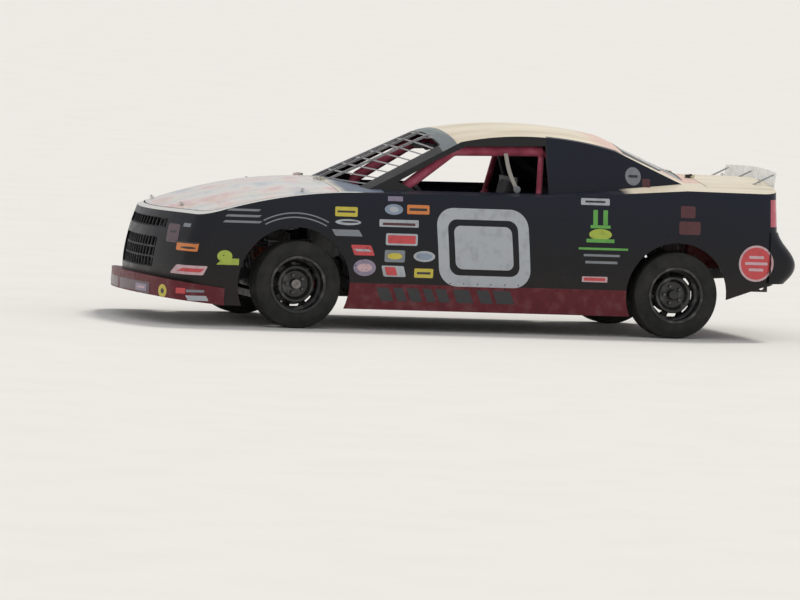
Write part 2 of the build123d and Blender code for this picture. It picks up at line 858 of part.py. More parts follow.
# Seat line from the knee edge to the head
# Columns: X from the seat's back corner, height over the seat floor
seat_line = ((430, 60), (60, 0), (0, 60), (-150, 700), (-150, 820))
bolster_line = ((400, 62), (60, 2), (2, 62), (-118, 560), (-20, 560), (60, 190), (400, 150))
runner_line = ((20, 0), (400, 0), (400, 115), (60, 60))
runner_half = 15
runner_spread = 150
with BuildPart() as seat:
    with BuildSketch(Plane.XZ.offset(-driver_y - seat_half)):
        with BuildLine():
            Polyline(*[(seat_x + x, seat_floor + z) for x, z in seat_line])
            offset(amount=seat_wall, side=Side.LEFT, kind=Kind.INTERSECTION)
        make_face()
    extrude(amount=2 * seat_half)
    for y in (driver_y - seat_half, driver_y + seat_half - seat_wall):
        add(side_cut([(seat_x + x, seat_floor + z) for x, z in bolster_line], (y, y + seat_wall)))
    for y in (driver_y - runner_spread, driver_y + runner_spread):
        runner = [(seat_x + x, floor_top + z) for x, z in runner_line]
        add(side_cut(runner, (y - runner_half, y + runner_half)))
write(seat.part, "seat")

# Steering column and wheel, on one line that slopes down to the firewall
column_radius = 16
column_top = (front_axle_x - 1010, driver_y, 850)
column_foot = (firewall_x, driver_y, 640)
steering_wheel_radius = 175
steering_rim_radius = 14
steering_hub_radius = 38
steering_hub_height = 40
spoke_width = 30
spoke_wall = 8
column_line = Vector(*column_top) - Vector(*column_foot)
column_axis = column_line.normalized()
wheel_gap = 0.5
with BuildPart() as steering_column:
    add(tube((column_foot, column_top), column_radius))
    add(slab((firewall_x, far), (-far, far), (0, far)), mode=Mode.SUBTRACT)
write(steering_column.part, "steering_column")
wheel_middle = Vector(*column_top) + column_axis * (wheel_gap + steering_hub_height / 2)
wheel_plane = Plane(origin=wheel_middle, x_dir=(0, 1, 0), z_dir=column_axis)
with BuildPart(wheel_plane) as steering_wheel:
    Torus(steering_wheel_radius, steering_rim_radius)
    Cylinder(steering_hub_radius, steering_hub_height)
    with PolarLocations(0, 3, 90):
        with Locations((steering_wheel_radius / 2, 0, 0)):
            Box(steering_wheel_radius, spoke_width, spoke_wall)
write(steering_wheel.part, "steering_wheel")

# Dash: a bent sheet from the firewall to the driver's side
dash_half = 640
dash_wall = 6
dash_rear_x = front_axle_x - 890
dash_line = (
    (firewall_x, firewall_top),
    (dash_rear_x + 40, 925),
    (dash_rear_x, 890),
    (dash_rear_x, 720),
)
with BuildPart() as dash:
    with BuildSketch(Plane.XZ.offset(-dash_half)):
        with BuildLine():
            Polyline(
                *dash_line,
                (dash_line[3][0] + dash_wall, dash_line[3][1]),
                (dash_line[2][0] + dash_wall, dash_line[2][1] - dash_wall / 2),
                (dash_line[1][0] + dash_wall / 2, dash_line[1][1] - dash_wall),
                (firewall_x, dash_line[0][1] - dash_wall),
                close=True,
            )
        make_face()
    extrude(amount=2 * dash_half)
    add([roll_cage.part, steering_column.part], mode=Mode.SUBTRACT)
write(dash.part, "dash")

# Engine block, gearbox with propeller shaft, radiator, fuel cell
engine_x = (front_axle_x - 340, front_axle_x + 260)
engine_half = 270
engine_z = (220, 790)
shaft_z = 312
shaft_radius = 38
diff_radius = 140
diff_half = 110
engine_slope = 110
gearbox_radius = 125
bell_radius = 175
gearbox_rear_x = front_axle_x - 950
with BuildPart() as engine_block:
    add(slab(engine_x, (-engine_half, engine_half), engine_z))
    top_edges = engine_block.edges().filter_by(Axis.X).group_by(Axis.Z)[-1]
    chamfer(top_edges, engine_slope)
write(engine_block.part, "engine_block")

radiator_x = front_axle_x + 650
radiator_half = 330
radiator_depth = 60
radiator_heights = (rail_route[0][2] + cross_height / 2, 720)
tank_width = 30
tank_step = 10
with BuildPart() as radiator:
    add(slab((radiator_x, radiator_x + radiator_depth), (-radiator_half, radiator_half), radiator_heights))
    tank_x = (radiator_x - tank_step, radiator_x + radiator_depth + tank_step)
    for y in (-radiator_half, radiator_half - tank_width):
        add(slab(tank_x, (y, y + tank_width), radiator_heights))
write(radiator.part, "radiator")

cell_x = (rear_axle_x - 665, rear_axle_x - 225)
cell_half = 380
cell_heights = (430, 690)
cell_corner = 30
with BuildPart() as fuel_cell:
    add(slab(cell_x, (-cell_half, cell_half), cell_heights))
    fillet(fuel_cell.edges().filter_by(Axis.Z), cell_corner)
write(fuel_cell.part, "fuel_cell")

# Wheels: a steel rim with a dished and windowed disc, and a racing tyre
# Rim profile from the inner to the outer edge, columns: distance from the wheel's middle, radius
rim_line = (
    (-108, 203),
    (-103, 203),
    (-100, 190),
    (-60, 188),
    (-48, 168),
    (8, 168),
    (24, 188),
    (100, 190),
    (103, 203),
    (108, 203),
)
rim_inner_line = ((-105, 185), (-62, 183), (-50, 163), (10, 163), (27, 183), (105, 185))
hub_bore_radius = 34
disc_face = 5
disc_wall = 7
# Disc profile from the hub out, columns: distance from the wheel's middle, radius
disc_line = ((5, hub_bore_radius), (5, 92), (30, 112), (30, 128), (-12, 165))
window_count = 8
window_radius = 145
window_size = (24, 62)
window_reach = (-60, 80)


def rim_part(x, y, side):
    """One steel wheel at a hub; side is 1 on the left and -1 on the right."""
    hub_axis = Axis((x, 0, hub_height), (0, 1, 0))
    hub_plane = Plane(origin=(x, 0, hub_height), x_dir=(0, 1, 0), z_dir=(-1, 0, 0))
    barrel = rim_line + tuple(reversed(rim_inner_line))
    dish = disc_line + tuple((along + disc_wall, radius) for along, radius in reversed(disc_line))
    with BuildPart() as rim:
        for outline in (barrel, dish):
            with BuildSketch(hub_plane):
                with BuildLine():
                    Polyline(*[(y + side * along, -radius) for along, radius in outline], close=True)
                make_face()
            revolve(axis=hub_axis)
        window_start = (x, y + side * window_reach[0], hub_height)
        with BuildSketch(Plane(origin=window_start, x_dir=(1, 0, 0), z_dir=(0, side, 0))):
            with PolarLocations(window_radius, window_count):
                Rectangle(*window_size)
        extrude(amount=window_reach[1] - window_reach[0], mode=Mode.SUBTRACT)
    return rim.part


# Tyre profile from the bead to the tread, columns: distance from the wheel's middle, radius
tyre_line = ((99.8, 190.2), (102.7, 203.4), (115, 248), (108, 296), (103, hub_height - 5), (92, hub_height))


def tyre_part(x, y):
    """One tyre seated on its rim: bulged sidewalls and a flat tread with round shoulders."""
    hub_axis = Axis((x, 0, hub_height), (0, 1, 0))
    hub_plane = Plane(origin=(x, 0, hub_height), x_dir=(0, 1, 0), z_dir=(-1, 0, 0))
    with BuildPart() as tyre:
        with BuildSketch(hub_plane):
            with BuildLine():
                for edge in (-1, 1):
                    toe, heel, bulge, shoulder, round_over, tread = [
                        (y + edge * half_width, -radius) for half_width, radius in tyre_line
                    ]
                    Line(toe, heel)
                    ThreePointArc(heel, bulge, shoulder)
                    ThreePointArc(shoulder, round_over, tread)
                for half_width, radius in (tyre_line[0], tyre_line[-1]):
                    Line((y - half_width, -radius), (y + half_width, -radius))
            make_face()
        revolve(axis=hub_axis)
    return tyre.part


corners = (
    ("front_left", front_axle_x, 1),
    ("front_right", front_axle_x, -1),
    ("rear_left", rear_axle_x, 1),
    ("rear_right", rear_axle_x, -1),
)
for corner, axle_x, side in corners:
    write(rim_part(axle_x, side * wheel_centre_y, side), corner + "_rim")
    write(tyre_part(axle_x, side * wheel_centre_y), corner + "_tyre")

# Front hubs: a knuckle on two ball joints, with its spindle and brake disc
kingpin_y = 700
joint_radius = 20
joint_rise = 112
joint_gap = 0.4
spindle_radius = 33
brake_disc_radius = 150
brake_disc_y = (kingpin_y + 32, kingpin_y + 44)
hub_seat_gap = 0.3
hub_flange_radius = 70
front_spindle_length = 45
rear_spindle_length = 30
upright_size = (70, 34, 110)
steering_arm_length = 120
steering_arm_half = 14
steering_arm_heights = (hub_height - 75, hub_height - 60)
mount_face_y = wheel_centre_y + disc_face - hub_seat_gap
spindle_y = (kingpin_y, mount_face_y + front_spindle_length)
with BuildPart() as left_knuckle:
    with Locations((front_axle_x, kingpin_y, hub_height)):
        Cylinder(joint_radius, 2 * joint_rise)
        Box(*upright_size)
    add(axle_disc(front_axle_x, brake_disc_y, hub_height, brake_disc_radius))
    add(axle_disc(front_axle_x, (kingpin_y, mount_face_y), hub_height, hub_flange_radius))
    add(axle_disc(front_axle_x, spindle_y, hub_height, spindle_radius))
    # Steering arm, behind the axle
    arm_y = (kingpin_y - steering_arm_half, kingpin_y + steering_arm_half)
    add(slab((front_axle_x - steering_arm_length, front_axle_x), arm_y, steering_arm_heights))
write(left_knuckle.part, "left_knuckle")
write(mirror(left_knuckle.part, about=Plane.XZ), "right_knuckle")

# Front arms: an upper and a lower A-arm on each side, their ends over and under the knuckle
arm_radius = 11
arm_setback = 20
arm_start = 4
cup_wall = 4
lower_joint_z = hub_height - joint_rise - joint_gap
upper_joint_z = hub_height + joint_rise + joint_gap
arm_cup = 24
# Columns: height of the cup's inner face, direction of the cup, Y and height and half spread of the pivots
arm_rows = (
    (lower_joint_z, -1, front_rail_y, 188, 125),
    (upper_joint_z, 1, front_rail_y + rail_width / 2, 468, 105),
)
with BuildPart() as front_arm_left:
    for face_z, toward, pivot_y, pivot_z, spread in arm_rows:
        cup_z = face_z + toward * arm_cup / 2
        with Locations((front_axle_x, kingpin_y, cup_z)):
            Cylinder(joint_radius + cup_wall, arm_cup)
        for end in (-1, 1):
            start = (front_axle_x + end * arm_start, kingpin_y, cup_z)
            finish = (front_axle_x + end * spread, pivot_y - arm_setback, pivot_z)
            add(tube((start, finish), arm_radius))
    add(frame.part, mode=Mode.SUBTRACT)
    add(slab((-far, far), (-far, front_rail_y), (-far, far)), mode=Mode.SUBTRACT)
with BuildPart() as front_arms:
    add(both_sides(front_arm_left.part))
write(front_arms.part, "front_arms")

# Rear axle: a tube with the final drive, brake drums and wheel flanges
axle_tube_radius = 38
drum_radius = 130
drum_y = (690, wheel_centre_y - 25)
axle_tube_half = drum_y[0] + 5
with BuildPart() as rear_axle:
    add(axle_disc(rear_axle_x, (-axle_tube_half, axle_tube_half), shaft_z, axle_tube_radius))
    add(axle_disc(rear_axle_x, (-diff_half, diff_half), shaft_z, diff_radius))
    for piece in (
        axle_disc(rear_axle_x, drum_y, shaft_z, drum_radius),
        axle_disc(rear_axle_x, (drum_y[0], mount_face_y), shaft_z, hub_flange_radius),
        axle_disc(rear_axle_x, (drum_y[0], mount_face_y + rear_spindle_length), shaft_z, spindle_radius),
    ):
        add(both_sides(piece))
write(rear_axle.part, "rear_axle")

# Driveline: bell housing, gearbox and the shaft to the final drive
bell_x = firewall_x - 20
bell_rise = 40
shaft_overrun = 20
shaft_x = (rear_axle_x + diff_radius - shaft_overrun, gearbox_rear_x + shaft_overrun)
with BuildPart() as driveline:
    with BuildSketch(Plane.YZ.offset(gearbox_rear_x)):
        with Locations((0, shaft_z)):
            Circle(gearbox_radius)
    extrude(amount=bell_x - gearbox_rear_x)
    with BuildSketch(Plane.YZ.offset(bell_x)):
        with Locations((0, shaft_z)):
            Circle(gearbox_radius)
    with BuildSketch(Plane.YZ.offset(engine_x[0])):
        with Locations((0, shaft_z + bell_rise)):
            Circle(bell_radius)
    loft()
    with BuildSketch(Plane.YZ.offset(shaft_x[0])):
        with Locations((0, shaft_z)):
            Circle(shaft_radius)
    extrude(amount=shaft_x[1] - shaft_x[0])
    add([floor_pan.part, rear_axle.part], mode=Mode.SUBTRACT)
write(driveline.part, "driveline")

# Rear springs: a coil pack and a damper on each side, between the axle and the rail
spring_radius = 45
spring_top = rail_route[4][2] - rail_height / 2
with BuildPart() as rear_springs:
    for y in (-rail_route[4][1], rail_route[4][1]):
        with Locations((rear_axle_x, y, (shaft_z + spring_top) / 2)):
            Cylinder(spring_radius, spring_top - shaft_z)
    add([rear_axle.part, frame.part], mode=Mode.SUBTRACT)
write(rear_springs.part, "rear_springs")
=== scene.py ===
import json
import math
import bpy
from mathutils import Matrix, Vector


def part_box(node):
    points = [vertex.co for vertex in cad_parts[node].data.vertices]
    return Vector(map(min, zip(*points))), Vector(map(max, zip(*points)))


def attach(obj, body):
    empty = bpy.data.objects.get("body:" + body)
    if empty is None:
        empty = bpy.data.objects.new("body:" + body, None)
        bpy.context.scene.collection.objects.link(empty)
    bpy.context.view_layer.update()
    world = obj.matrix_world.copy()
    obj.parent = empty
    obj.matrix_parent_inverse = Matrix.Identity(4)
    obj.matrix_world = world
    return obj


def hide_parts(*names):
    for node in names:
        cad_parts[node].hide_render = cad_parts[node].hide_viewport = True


bl_info = {
    "name": "Stock Race Coupe",
    "version": (1, 0, 0),
    "blender": (4, 5, 0),
    "location": "View3D > Sidebar > Coupe",
    "description": "Finishes a stock race coupe: paint, stickers, tyres, cabin, engine and studio",
    "category": "Object",
}

import bmesh
import bpy
from bpy.props import FloatProperty, FloatVectorProperty, IntProperty, PointerProperty
from mathutils import Matrix, Vector, geometry
from mathutils.bvhtree import BVHTree

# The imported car, in metres: X forward, Y to its left, Z up, the ground at Z = 0
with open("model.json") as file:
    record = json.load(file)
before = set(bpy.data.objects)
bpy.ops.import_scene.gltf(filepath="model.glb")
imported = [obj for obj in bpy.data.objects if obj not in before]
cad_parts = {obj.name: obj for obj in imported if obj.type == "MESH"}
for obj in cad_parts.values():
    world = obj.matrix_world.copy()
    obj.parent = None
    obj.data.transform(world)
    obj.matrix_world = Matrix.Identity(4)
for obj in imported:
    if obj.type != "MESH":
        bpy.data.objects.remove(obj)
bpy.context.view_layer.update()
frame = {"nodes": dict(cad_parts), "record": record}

CORNERS = ("front_left", "front_right", "rear_left", "rear_right")
SIDES = (("left", 1), ("right", -1))
LEFTWARD = (0, 1, 0)
UPWARD = (0, 0, 1)
CHASSIS = "chassis"


def node_middle(name):
    """The middle of a node's box."""
    low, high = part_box(name)
    return (low + high) / 2


def hub(corner):
    """The middle of a wheel and the side it is on, 1 for left."""
    side = 1 if corner.endswith("left") else -1
    return node_middle(corner + "_tyre"), side


FRONT_AXLE = node_middle("front_left_tyre").x
REAR_AXLE = node_middle("rear_left_tyre").x
HUB_HEIGHT = node_middle("front_left_tyre").z


# Node materials


class Finish:
    """One material: a shader with short calls for the nodes that it reads."""

    def __init__(self, name, color, roughness, **sockets):
        self.material = bpy.data.materials.new(name)
        self.material.use_nodes = True
        self.tree = self.material.node_tree
        self.shader = self.tree.nodes["Principled BSDF"]
        self.shader.inputs["Base Color"].default_value = (*color, 1)
        self.shader.inputs["Roughness"].default_value = roughness
        for socket, value in sockets.items():
            self.shader.inputs[socket.replace("_", " ")].default_value = value
        self.place = self.add("ShaderNodeTexCoord").outputs["Object"]

    def add(self, kind, **settings):
        node = self.tree.nodes.new(kind)
        for key, value in settings.items():
            setattr(node, key, value)
        return node

    def join(self, source, node, socket):
        """Links an output, or sets a plain value, on a node's input."""
        target = node.inputs[socket]
        if isinstance(source, bpy.types.NodeSocket):
            self.tree.links.new(source, target)
        else:
            target.default_value = source

    def part(self, vector, letter):
        split = self.add("ShaderNodeSeparateXYZ")
        self.join(vector, split, 0)
        return split.outputs[letter]

    def axis(self, letter):
        """One coordinate of the point being shaded."""
        return self.part(self.place, letter)

    def facing(self, letter):
        """One part of the surface's own direction."""
        return self.part(self.add("ShaderNodeNewGeometry").outputs["Normal"], letter)

    def noise(self, scale, detail=3.0, stretch=(1, 1, 1)):
        mapping = self.add("ShaderNodeMapping")
        self.join(self.place, mapping, "Vector")
        mapping.inputs["Scale"].default_value = stretch
        texture = self.add("ShaderNodeTexNoise")
        self.join(mapping.outputs[0], texture, "Vector")
        texture.inputs["Scale"].default_value = scale
        texture.inputs["Detail"].default_value = detail
        return texture.outputs["Fac"]

    def wave(self, scale, distortion, direction):
        texture = self.add("ShaderNodeTexWave", bands_direction=direction)
        self.join(self.place, texture, "Vector")
        texture.inputs["Scale"].default_value = scale
        texture.inputs["Distortion"].default_value = distortion
        return texture.outputs["Fac"]

    def ramp(self, factor, *stops):
        """A colour ramp; the stops are a position and a colour or a grey value."""
        node = self.add("ShaderNodeValToRGB")
        self.join(factor, node, "Fac")
        elements = node.color_ramp.elements
        while len(elements) < len(stops):
            elements.new(1.0)
        for element, (position, value) in zip(elements, stops):
            color = value if isinstance(value, tuple) else (value, value, value)
            element.position = position
            element.color = (*color, 1)
        return node.outputs["Color"]

    def math(self, operation, first, second=0.0):
        node = self.add("ShaderNodeMath", operation=operation)
        self.join(first, node, 0)
        self.join(second, node, 1)
        return node.outputs[0]

    def product(self, first, *others):
        for other in others:
            first = self.math("MULTIPLY", first, other)
        return first

    def spread(self, value, low, high):
        """Stretches a value so that low to high becomes 0 to 1."""
        node = self.add("ShaderNodeMapRange")
        self.join(value, node, "Value")
        node.inputs["From Min"].default_value = low
        node.inputs["From Max"].default_value = high
        return node.outputs[0]

    def mix(self, factor, first, second):
        node = self.add("ShaderNodeMix", data_type="RGBA")
        self.join(factor, node, 0)
        for socket, value in ((6, first), (7, second)):
            self.join((*value, 1) if isinstance(value, tuple) else value, node, socket)
        return node.outputs[2]

    def color(self, source):
        self.join(source, self.shader, "Base Color")

    def rough(self, source):
        self.join(source, self.shader, "Roughness")

    def bump(self, height, distance, strength):
        node = self.add("ShaderNodeBump")
        self.join(height, node, "Height")
        node.inputs["Distance"].default_value = distance
        node.inputs["Strength"].default_value = strength
        self.join(node.outputs[0], self.shader, "Normal")

    def uneven(self, scale, detail, smooth, dull):
        """Roughness that wanders between two values."""
        self.rough(self.ramp(self.noise(scale, detail), (0.3, smooth), (0.7, dull)))

    def grained(self, scale, detail, distance, strength):
        """The finished material, with a fine grain on its surface."""
        self.bump(self.noise(scale, detail), distance, strength)
        return self.material


# Where paints and painted reflections change, from and to: X and Z in metres, and how far a surface faces up
FENDER_UP, FENDER_Z, FENDER_X = (0.72, 0.86), (0.775, 0.785), (0.86, 0.92)
SHOULDER_Z, SHOULDER_X = (0.95, 0.96), (-1.06, -1.14)
ROOF_UP, ROOF_FRONT_X, ROOF_REAR_X, ROOF_REAR_Z = (0.66, 0.76), (0.245, 0.235), -1.13, 1.19
PINK_X, BANNER_X, DECK_LIP_Z = (-0.86, -1.0), (0.128, 0.132), 1.068
COWL_SUN_REFLECTION_X = (1.03, 1.09)
FOAM_Y, FOAM_X = (0.50, 0.51), (-0.585, -0.575)


def shade(color, share):
    """A colour made darker or lighter."""
    return tuple(min(1.0, c * share) for c in color)


def tint(color, change):
    """A colour with a little added to each channel."""
    return tuple(c + d for c, d in zip(color, change))


def gloss_black(settings):
    """Black body paint; painted reflections of blue sky up high and brown ground low, with road dirt; pale
    tops.
    """
    finish = Finish("gloss_black", settings.body_color, 0.3, Specular_IOR_Level=0.25)
    height = finish.math("ADD", finish.axis("Z"), finish.product(finish.noise(2.5), 0.25))
    base = tuple(settings.body_color)
    # Brown low down is road dirt and a painted reflection of the ground; blue towards the shoulder is a
    # painted sky reflection
    dust_and_ground_reflection, sky_reflection_navy = tint(base, (0.012, 0.006, 0.001)), tint(base, (0.001, 0.004, 0.014))
    tone = finish.ramp(finish.spread(height, 0.2, 1.25), (0.0, dust_and_ground_reflection), (0.42, base), (0.85, sky_reflection_navy))
    # Painted reflections on tops facing up: hood-pale on the fenders, cream on the shoulders behind the
    # windows
    top = finish.spread(finish.facing("Z"), *FENDER_UP)
    for levels, places, color in (
        (FENDER_Z, FENDER_X, settings.hood_color),
        (SHOULDER_Z, SHOULDER_X, settings.reflection_cream_color),
    ):
        high, along = finish.spread(finish.axis("Z"), *levels), finish.spread(finish.axis("X"), *places)
        tone = finish.mix(finish.product(top, high, along), tone, tuple(color))
    finish.color(tone)
    finish.uneven(9, 5, 0.24, 0.42)
    return finish.grained(600, 1, 0.0002, 0.25)


def cream_sky_reflection(settings, name, black_edges):
    """Deck and roof: a painted sky reflection in streaky cream on black; the roof's sides and deck's lip are
    black.
    """
    finish = Finish(name, settings.reflection_cream_color, 0.35, Specular_IOR_Level=0.4)
    # Streaks in the painted sky reflection
    reflection_streaks = finish.noise(3.5, 4, (0.35, 1.6, 1))
    cream, black = tuple(settings.reflection_cream_color), tuple(settings.body_color)
    dull = tuple(c * d for c, d in zip(cream, (0.88, 0.84, 0.80)))
    tone = finish.ramp(reflection_streaks, (0.32, dull), (0.5, cream), (0.72, shade(cream, 1.1)))
    if black_edges:
        place = finish.axis("X")
        # A pink rear edge and a slate band over the windscreen
        tone = finish.mix(finish.product(finish.spread(place, *PINK_X), 0.55), tone, (0.74, 0.40, 0.38))
        tone = finish.mix(finish.product(finish.spread(place, *BANNER_X), 0.9), tone, (0.10, 0.14, 0.17))
        # The cream painted sky reflection covers only roof tops that face up; the sides stay black
        top = finish.spread(finish.facing("Z"), *ROOF_UP)
        behind = finish.spread(place, *ROOF_FRONT_X)
        ahead = finish.math("LESS_THAN", ROOF_REAR_X, place)
        low = finish.math("LESS_THAN", finish.axis("Z"), ROOF_REAR_Z)
        tone = finish.mix(finish.product(top, behind, finish.math("MAXIMUM", ahead, low)), black, tone)
    else:
        # Only the deck lid's lip stays black; above it the cream is a painted sky reflection
        tone = finish.mix(finish.math("LESS_THAN", finish.axis("Z"), DECK_LIP_Z), tone, black)
    finish.color(tone)
    finish.uneven(12, 5, 0.28, 0.46)
    return finish.grained(500, 1, 0.0002, 0.25)


def hood_paint(settings):
    """Hood: off-white, with soft waves along the car and loose patches of pale pink, cream and grey-blue."""
    finish = Finish("hood_paint", settings.hood_color, 0.3, Coat_Weight=0.4)
    bend = finish.product(finish.noise(2.2, 3, (0.6, 1.2, 1)), 0.55)
    across = finish.math("ADD", finish.axis("Y"), bend)
    along = finish.product(finish.axis("X"), 0.35)
    phase = finish.math("FRACT", finish.product(finish.math("ADD", across, along), 2.3))
    white = tuple(settings.hood_color)
    tone = finish.ramp(
        phase,
        (0.0, white),
        (0.14, (0.66, 0.36, 0.36)),
        (0.28, white),
        (0.44, (0.72, 0.60, 0.42)),
        (0.60, (0.34, 0.44, 0.56)),
        (0.78, (0.72, 0.70, 0.66)),
        (1.0, white),
    )
    # Patches without a rule break the waves: dull pink, bare white and cloudy grey-blue
    patches = finish.noise(4.2, 4, (1.0, 0.6, 1))
    stain = finish.ramp(
        patches,
        (0.36, (0.62, 0.40, 0.40)),
        (0.44, (0.72, 0.60, 0.57)),
        (0.50, white),
        (0.56, white),
        (0.61, (0.50, 0.54, 0.58)),
        (0.70, (0.30, 0.38, 0.48)),
    )
    tone = finish.mix(0.7, tone, stain)
    finish.color(tone)
    finish.uneven(12, 5, 0.24, 0.4)
    return finish.grained(500, 1, 0.0002, 0.25)


def cowl_paint():
    """Cowl: slate blue, with a pale cream painted reflection of the sun towards the hood."""
    finish = Finish("cowl_paint", (0.16, 0.20, 0.28), 0.35, Specular_IOR_Level=0.35)
    edge = finish.math("ADD", finish.axis("X"), finish.product(finish.noise(4, 3), 0.12))
    # The pale cream towards the hood is a painted reflection of the sun
    sun_reflection = finish.spread(edge, *COWL_SUN_REFLECTION_X)
    finish.color(finish.mix(sun_reflection, (0.10, 0.135, 0.20), (0.58, 0.55, 0.47)))
    finish.uneven(12, 5, 0.28, 0.45)
    return finish.grained(500, 1, 0.0002, 0.25)


def sprayed(name, color, roughness=0.4, wear=0.15, **sockets):
    """Painted or moulded parts: small tone changes, scuffs and a fine skin."""
    finish = Finish(name, color, roughness, **sockets)
    worn = tuple(min(1.0, c + wear * (0.5 - 0.4 * c)) for c in color)
    finish.color(finish.ramp(finish.noise(14, 6), (0.25, shade(color, 0.75)), (0.5, color), (0.78, worn)))
    finish.rough(finish.ramp(finish.noise(30, 4), (0.3, roughness * 0.8), (0.75, min(1.0, roughness * 1.3))))
    return finish.grained(350, 2, 0.0003, 0.3)


def bare_metal(name, color, roughness=0.35, stretch=(1, 12, 1)):
    """Bare metal with brush marks and dull patches."""
    finish = Finish(name, color, roughness, Metallic=0.9)
    marks = finish.noise(40, 4, stretch)
    finish.color(finish.ramp(marks, (0.3, shade(color, 0.7)), (0.7, color)))
    finish.rough(finish.ramp(marks, (0.3, roughness * 1.3), (0.7, roughness * 0.8)))
    finish.bump(marks, 0.0002, 0.4)
    return finish.material


def tyre_rubber(settings):
    """Dark warm rubber with dusty patches and a coarse grain."""
    finish = Finish("tyre_rubber", settings.tyre_color, 0.75, Specular_IOR_Level=0.25)
    base = tuple(settings.tyre_color)
    finish.color(finish.ramp(finish.noise(7, 6), (0.3, base), (0.75, tint(base, (0.020, 0.018, 0.015)))))
    finish.uneven(20, 3, 0.62, 0.9)
    return finish.grained(180, 4, 0.0006, 0.5)


def clear_sheet():
    """Clear plastic sheet with faint smears."""
    finish = Finish("clear_sheet", (0.78, 0.79, 0.78), 0.12, Alpha=0.38, Coat_Weight=0.5)
    smear = finish.noise(6, 6, (1, 3, 1))
    finish.join(finish.ramp(smear, (0.35, 0.28), (0.7, 0.55)), finish.shader, "Alpha")
    finish.rough(finish.ramp(smear, (0.3, 0.08), (0.7, 0.3)))
    return finish.material


def pad_foam():
    """Red foam sleeves with wrinkles and diagonal wraps, and the black tubes of the rest of the cage."""
    pink, deep, pale = (0.42, 0.065, 0.115), (0.27, 0.032, 0.062), (0.55, 0.15, 0.21)
    finish = Finish("pad_foam", pink, 0.75, Sheen_Weight=0.1)
    ridges = finish.math("ADD", finish.noise(26, 5), finish.wave(9, 3.0, "DIAGONAL"))
    foam = finish.ramp(finish.noise(9, 5), (0.3, deep), (0.55, pink), (0.8, pale))
    # Foam is on the window frames, outside FOAM_Y and ahead of FOAM_X
    beside = finish.spread(finish.math("ABSOLUTE", finish.axis("Y")), *FOAM_Y)
    ahead = finish.spread(finish.axis("X"), *FOAM_X)
    finish.color(finish.mix(finish.product(beside, ahead), (0.014, 0.014, 0.015), foam))
    finish.bump(ridges, 0.002, 0.6)
    return finish.material


def web_fabric(name, color):
    """Woven webbing or seat cloth."""
    finish = Finish(name, color, 0.85, Sheen_Weight=0.3)
    weave = finish.product(finish.wave(220, 0.3, "X"), finish.wave(220, 0.3, "Z"))
    finish.color(finish.mix(weave, shade(color, 0.7), color))
    finish.bump(weave, 0.0006, 0.6)
    return finish.material


def sticker(name, color):
    """Printed vinyl: even colour, a little grime and tiny bubbles."""
    finish = Finish(name, color, 0.35, Coat_Weight=0.2)
    finish.color(finish.ramp(finish.noise(16, 6), (0.28, shade(color, 0.78)), (0.5, color)))
    return finish.grained(120, 2, 0.0003, 0.25)


def cooling_core():
    """Radiator core: fine fins across flat tubes."""
    finish = Finish("cooling_core", (0.35, 0.36, 0.37), 0.5, Metallic=0.7)
    pattern = finish.product(finish.wave(260, 0.0, "Y"), finish.wave(45, 0.0, "Z"))
    finish.color(finish.mix(pattern, (0.05, 0.05, 0.05), (0.5, 0.51, 0.52)))
    finish.bump(pattern, 0.002, 0.8)
    return finish.material


materials = {}


def make_materials(settings):
    """Every finish of the car, by a plain name."""
    materials.update(
        black=gloss_black(settings),
        cream=cream_sky_reflection(settings, "cream_sky_reflection", False),
        roof=cream_sky_reflection(settings, "roof_with_sky_reflection", True),
        hood=hood_paint(settings),
        blue=cowl_paint(),
        red=sprayed("trim_red", tuple(settings.trim_color), 0.4, 0.08, Specular_IOR_Level=0.3),
        lamp=sprayed("lamp_red", (0.55, 0.10, 0.14), 0.25, 0.3, Coat_Weight=0.4),
        grille=sprayed("grille_black", (0.014, 0.014, 0.016), 0.6),
        frame=sprayed("frame_black", (0.02, 0.02, 0.02), 0.45, 0.2),
        cage=pad_foam(),
        floor=sprayed("sheet_grey", (0.12, 0.12, 0.125), 0.5, 0.25),
        dash=sprayed("sheet_black", (0.02, 0.02, 0.022), 0.6, 0.2),
        rim=sprayed("rim_black", (0.012, 0.012, 0.012), 0.42, 0.25, Coat_Weight=0.2),
        grip=sprayed("grip_black", (0.02, 0.02, 0.02), 0.8, 0.1),
        engine=sprayed("engine_paint", (0.10, 0.10, 0.11), 0.45, 0.3),
        orange=sprayed("engine_orange", (0.42, 0.09, 0.02), 0.4, 0.3),
        cell=sprayed("cell_red", (0.16, 0.012, 0.012), 0.5),
        spring=sprayed("spring_grey", (0.22, 0.23, 0.25), 0.4, 0.2),
        dial=sprayed("dial_black", (0.012, 0.012, 0.012), 0.5),
        mark=sprayed("dial_white", (0.75, 0.75, 0.72), 0.5),
        glass=bare_metal("mirror_face", (0.75, 0.77, 0.78), 0.08, (1, 1, 1)),
        bottle=sprayed("bottle_red", (0.40, 0.02, 0.02), 0.3),
        seat=sprayed("seat_sheet", (0.035, 0.036, 0.038), 0.45, 0.2),
        steel=bare_metal("bar_steel", (0.50, 0.50, 0.52)),
        iron=bare_metal("brake_iron", (0.30, 0.28, 0.27), 0.5),
        alloy=bare_metal("sheet_alloy", (0.62, 0.62, 0.64)),
        zinc=bare_metal("zinc", (0.66, 0.66, 0.64), 0.3, (1, 1, 1)),
        dull=bare_metal("dull_steel", (0.16, 0.155, 0.15), 0.5, (1, 1, 1)),
        core=cooling_core(),
        clear=clear_sheet(),
        rubber=tyre_rubber(settings),
        webbing=web_fabric("webbing_black", (0.025, 0.025, 0.03)),
        strap=web_fabric("strap_pale", (0.50, 0.47, 0.42)),
        cloth=web_fabric("seat_cloth", (0.03, 0.03, 0.035)),
    )


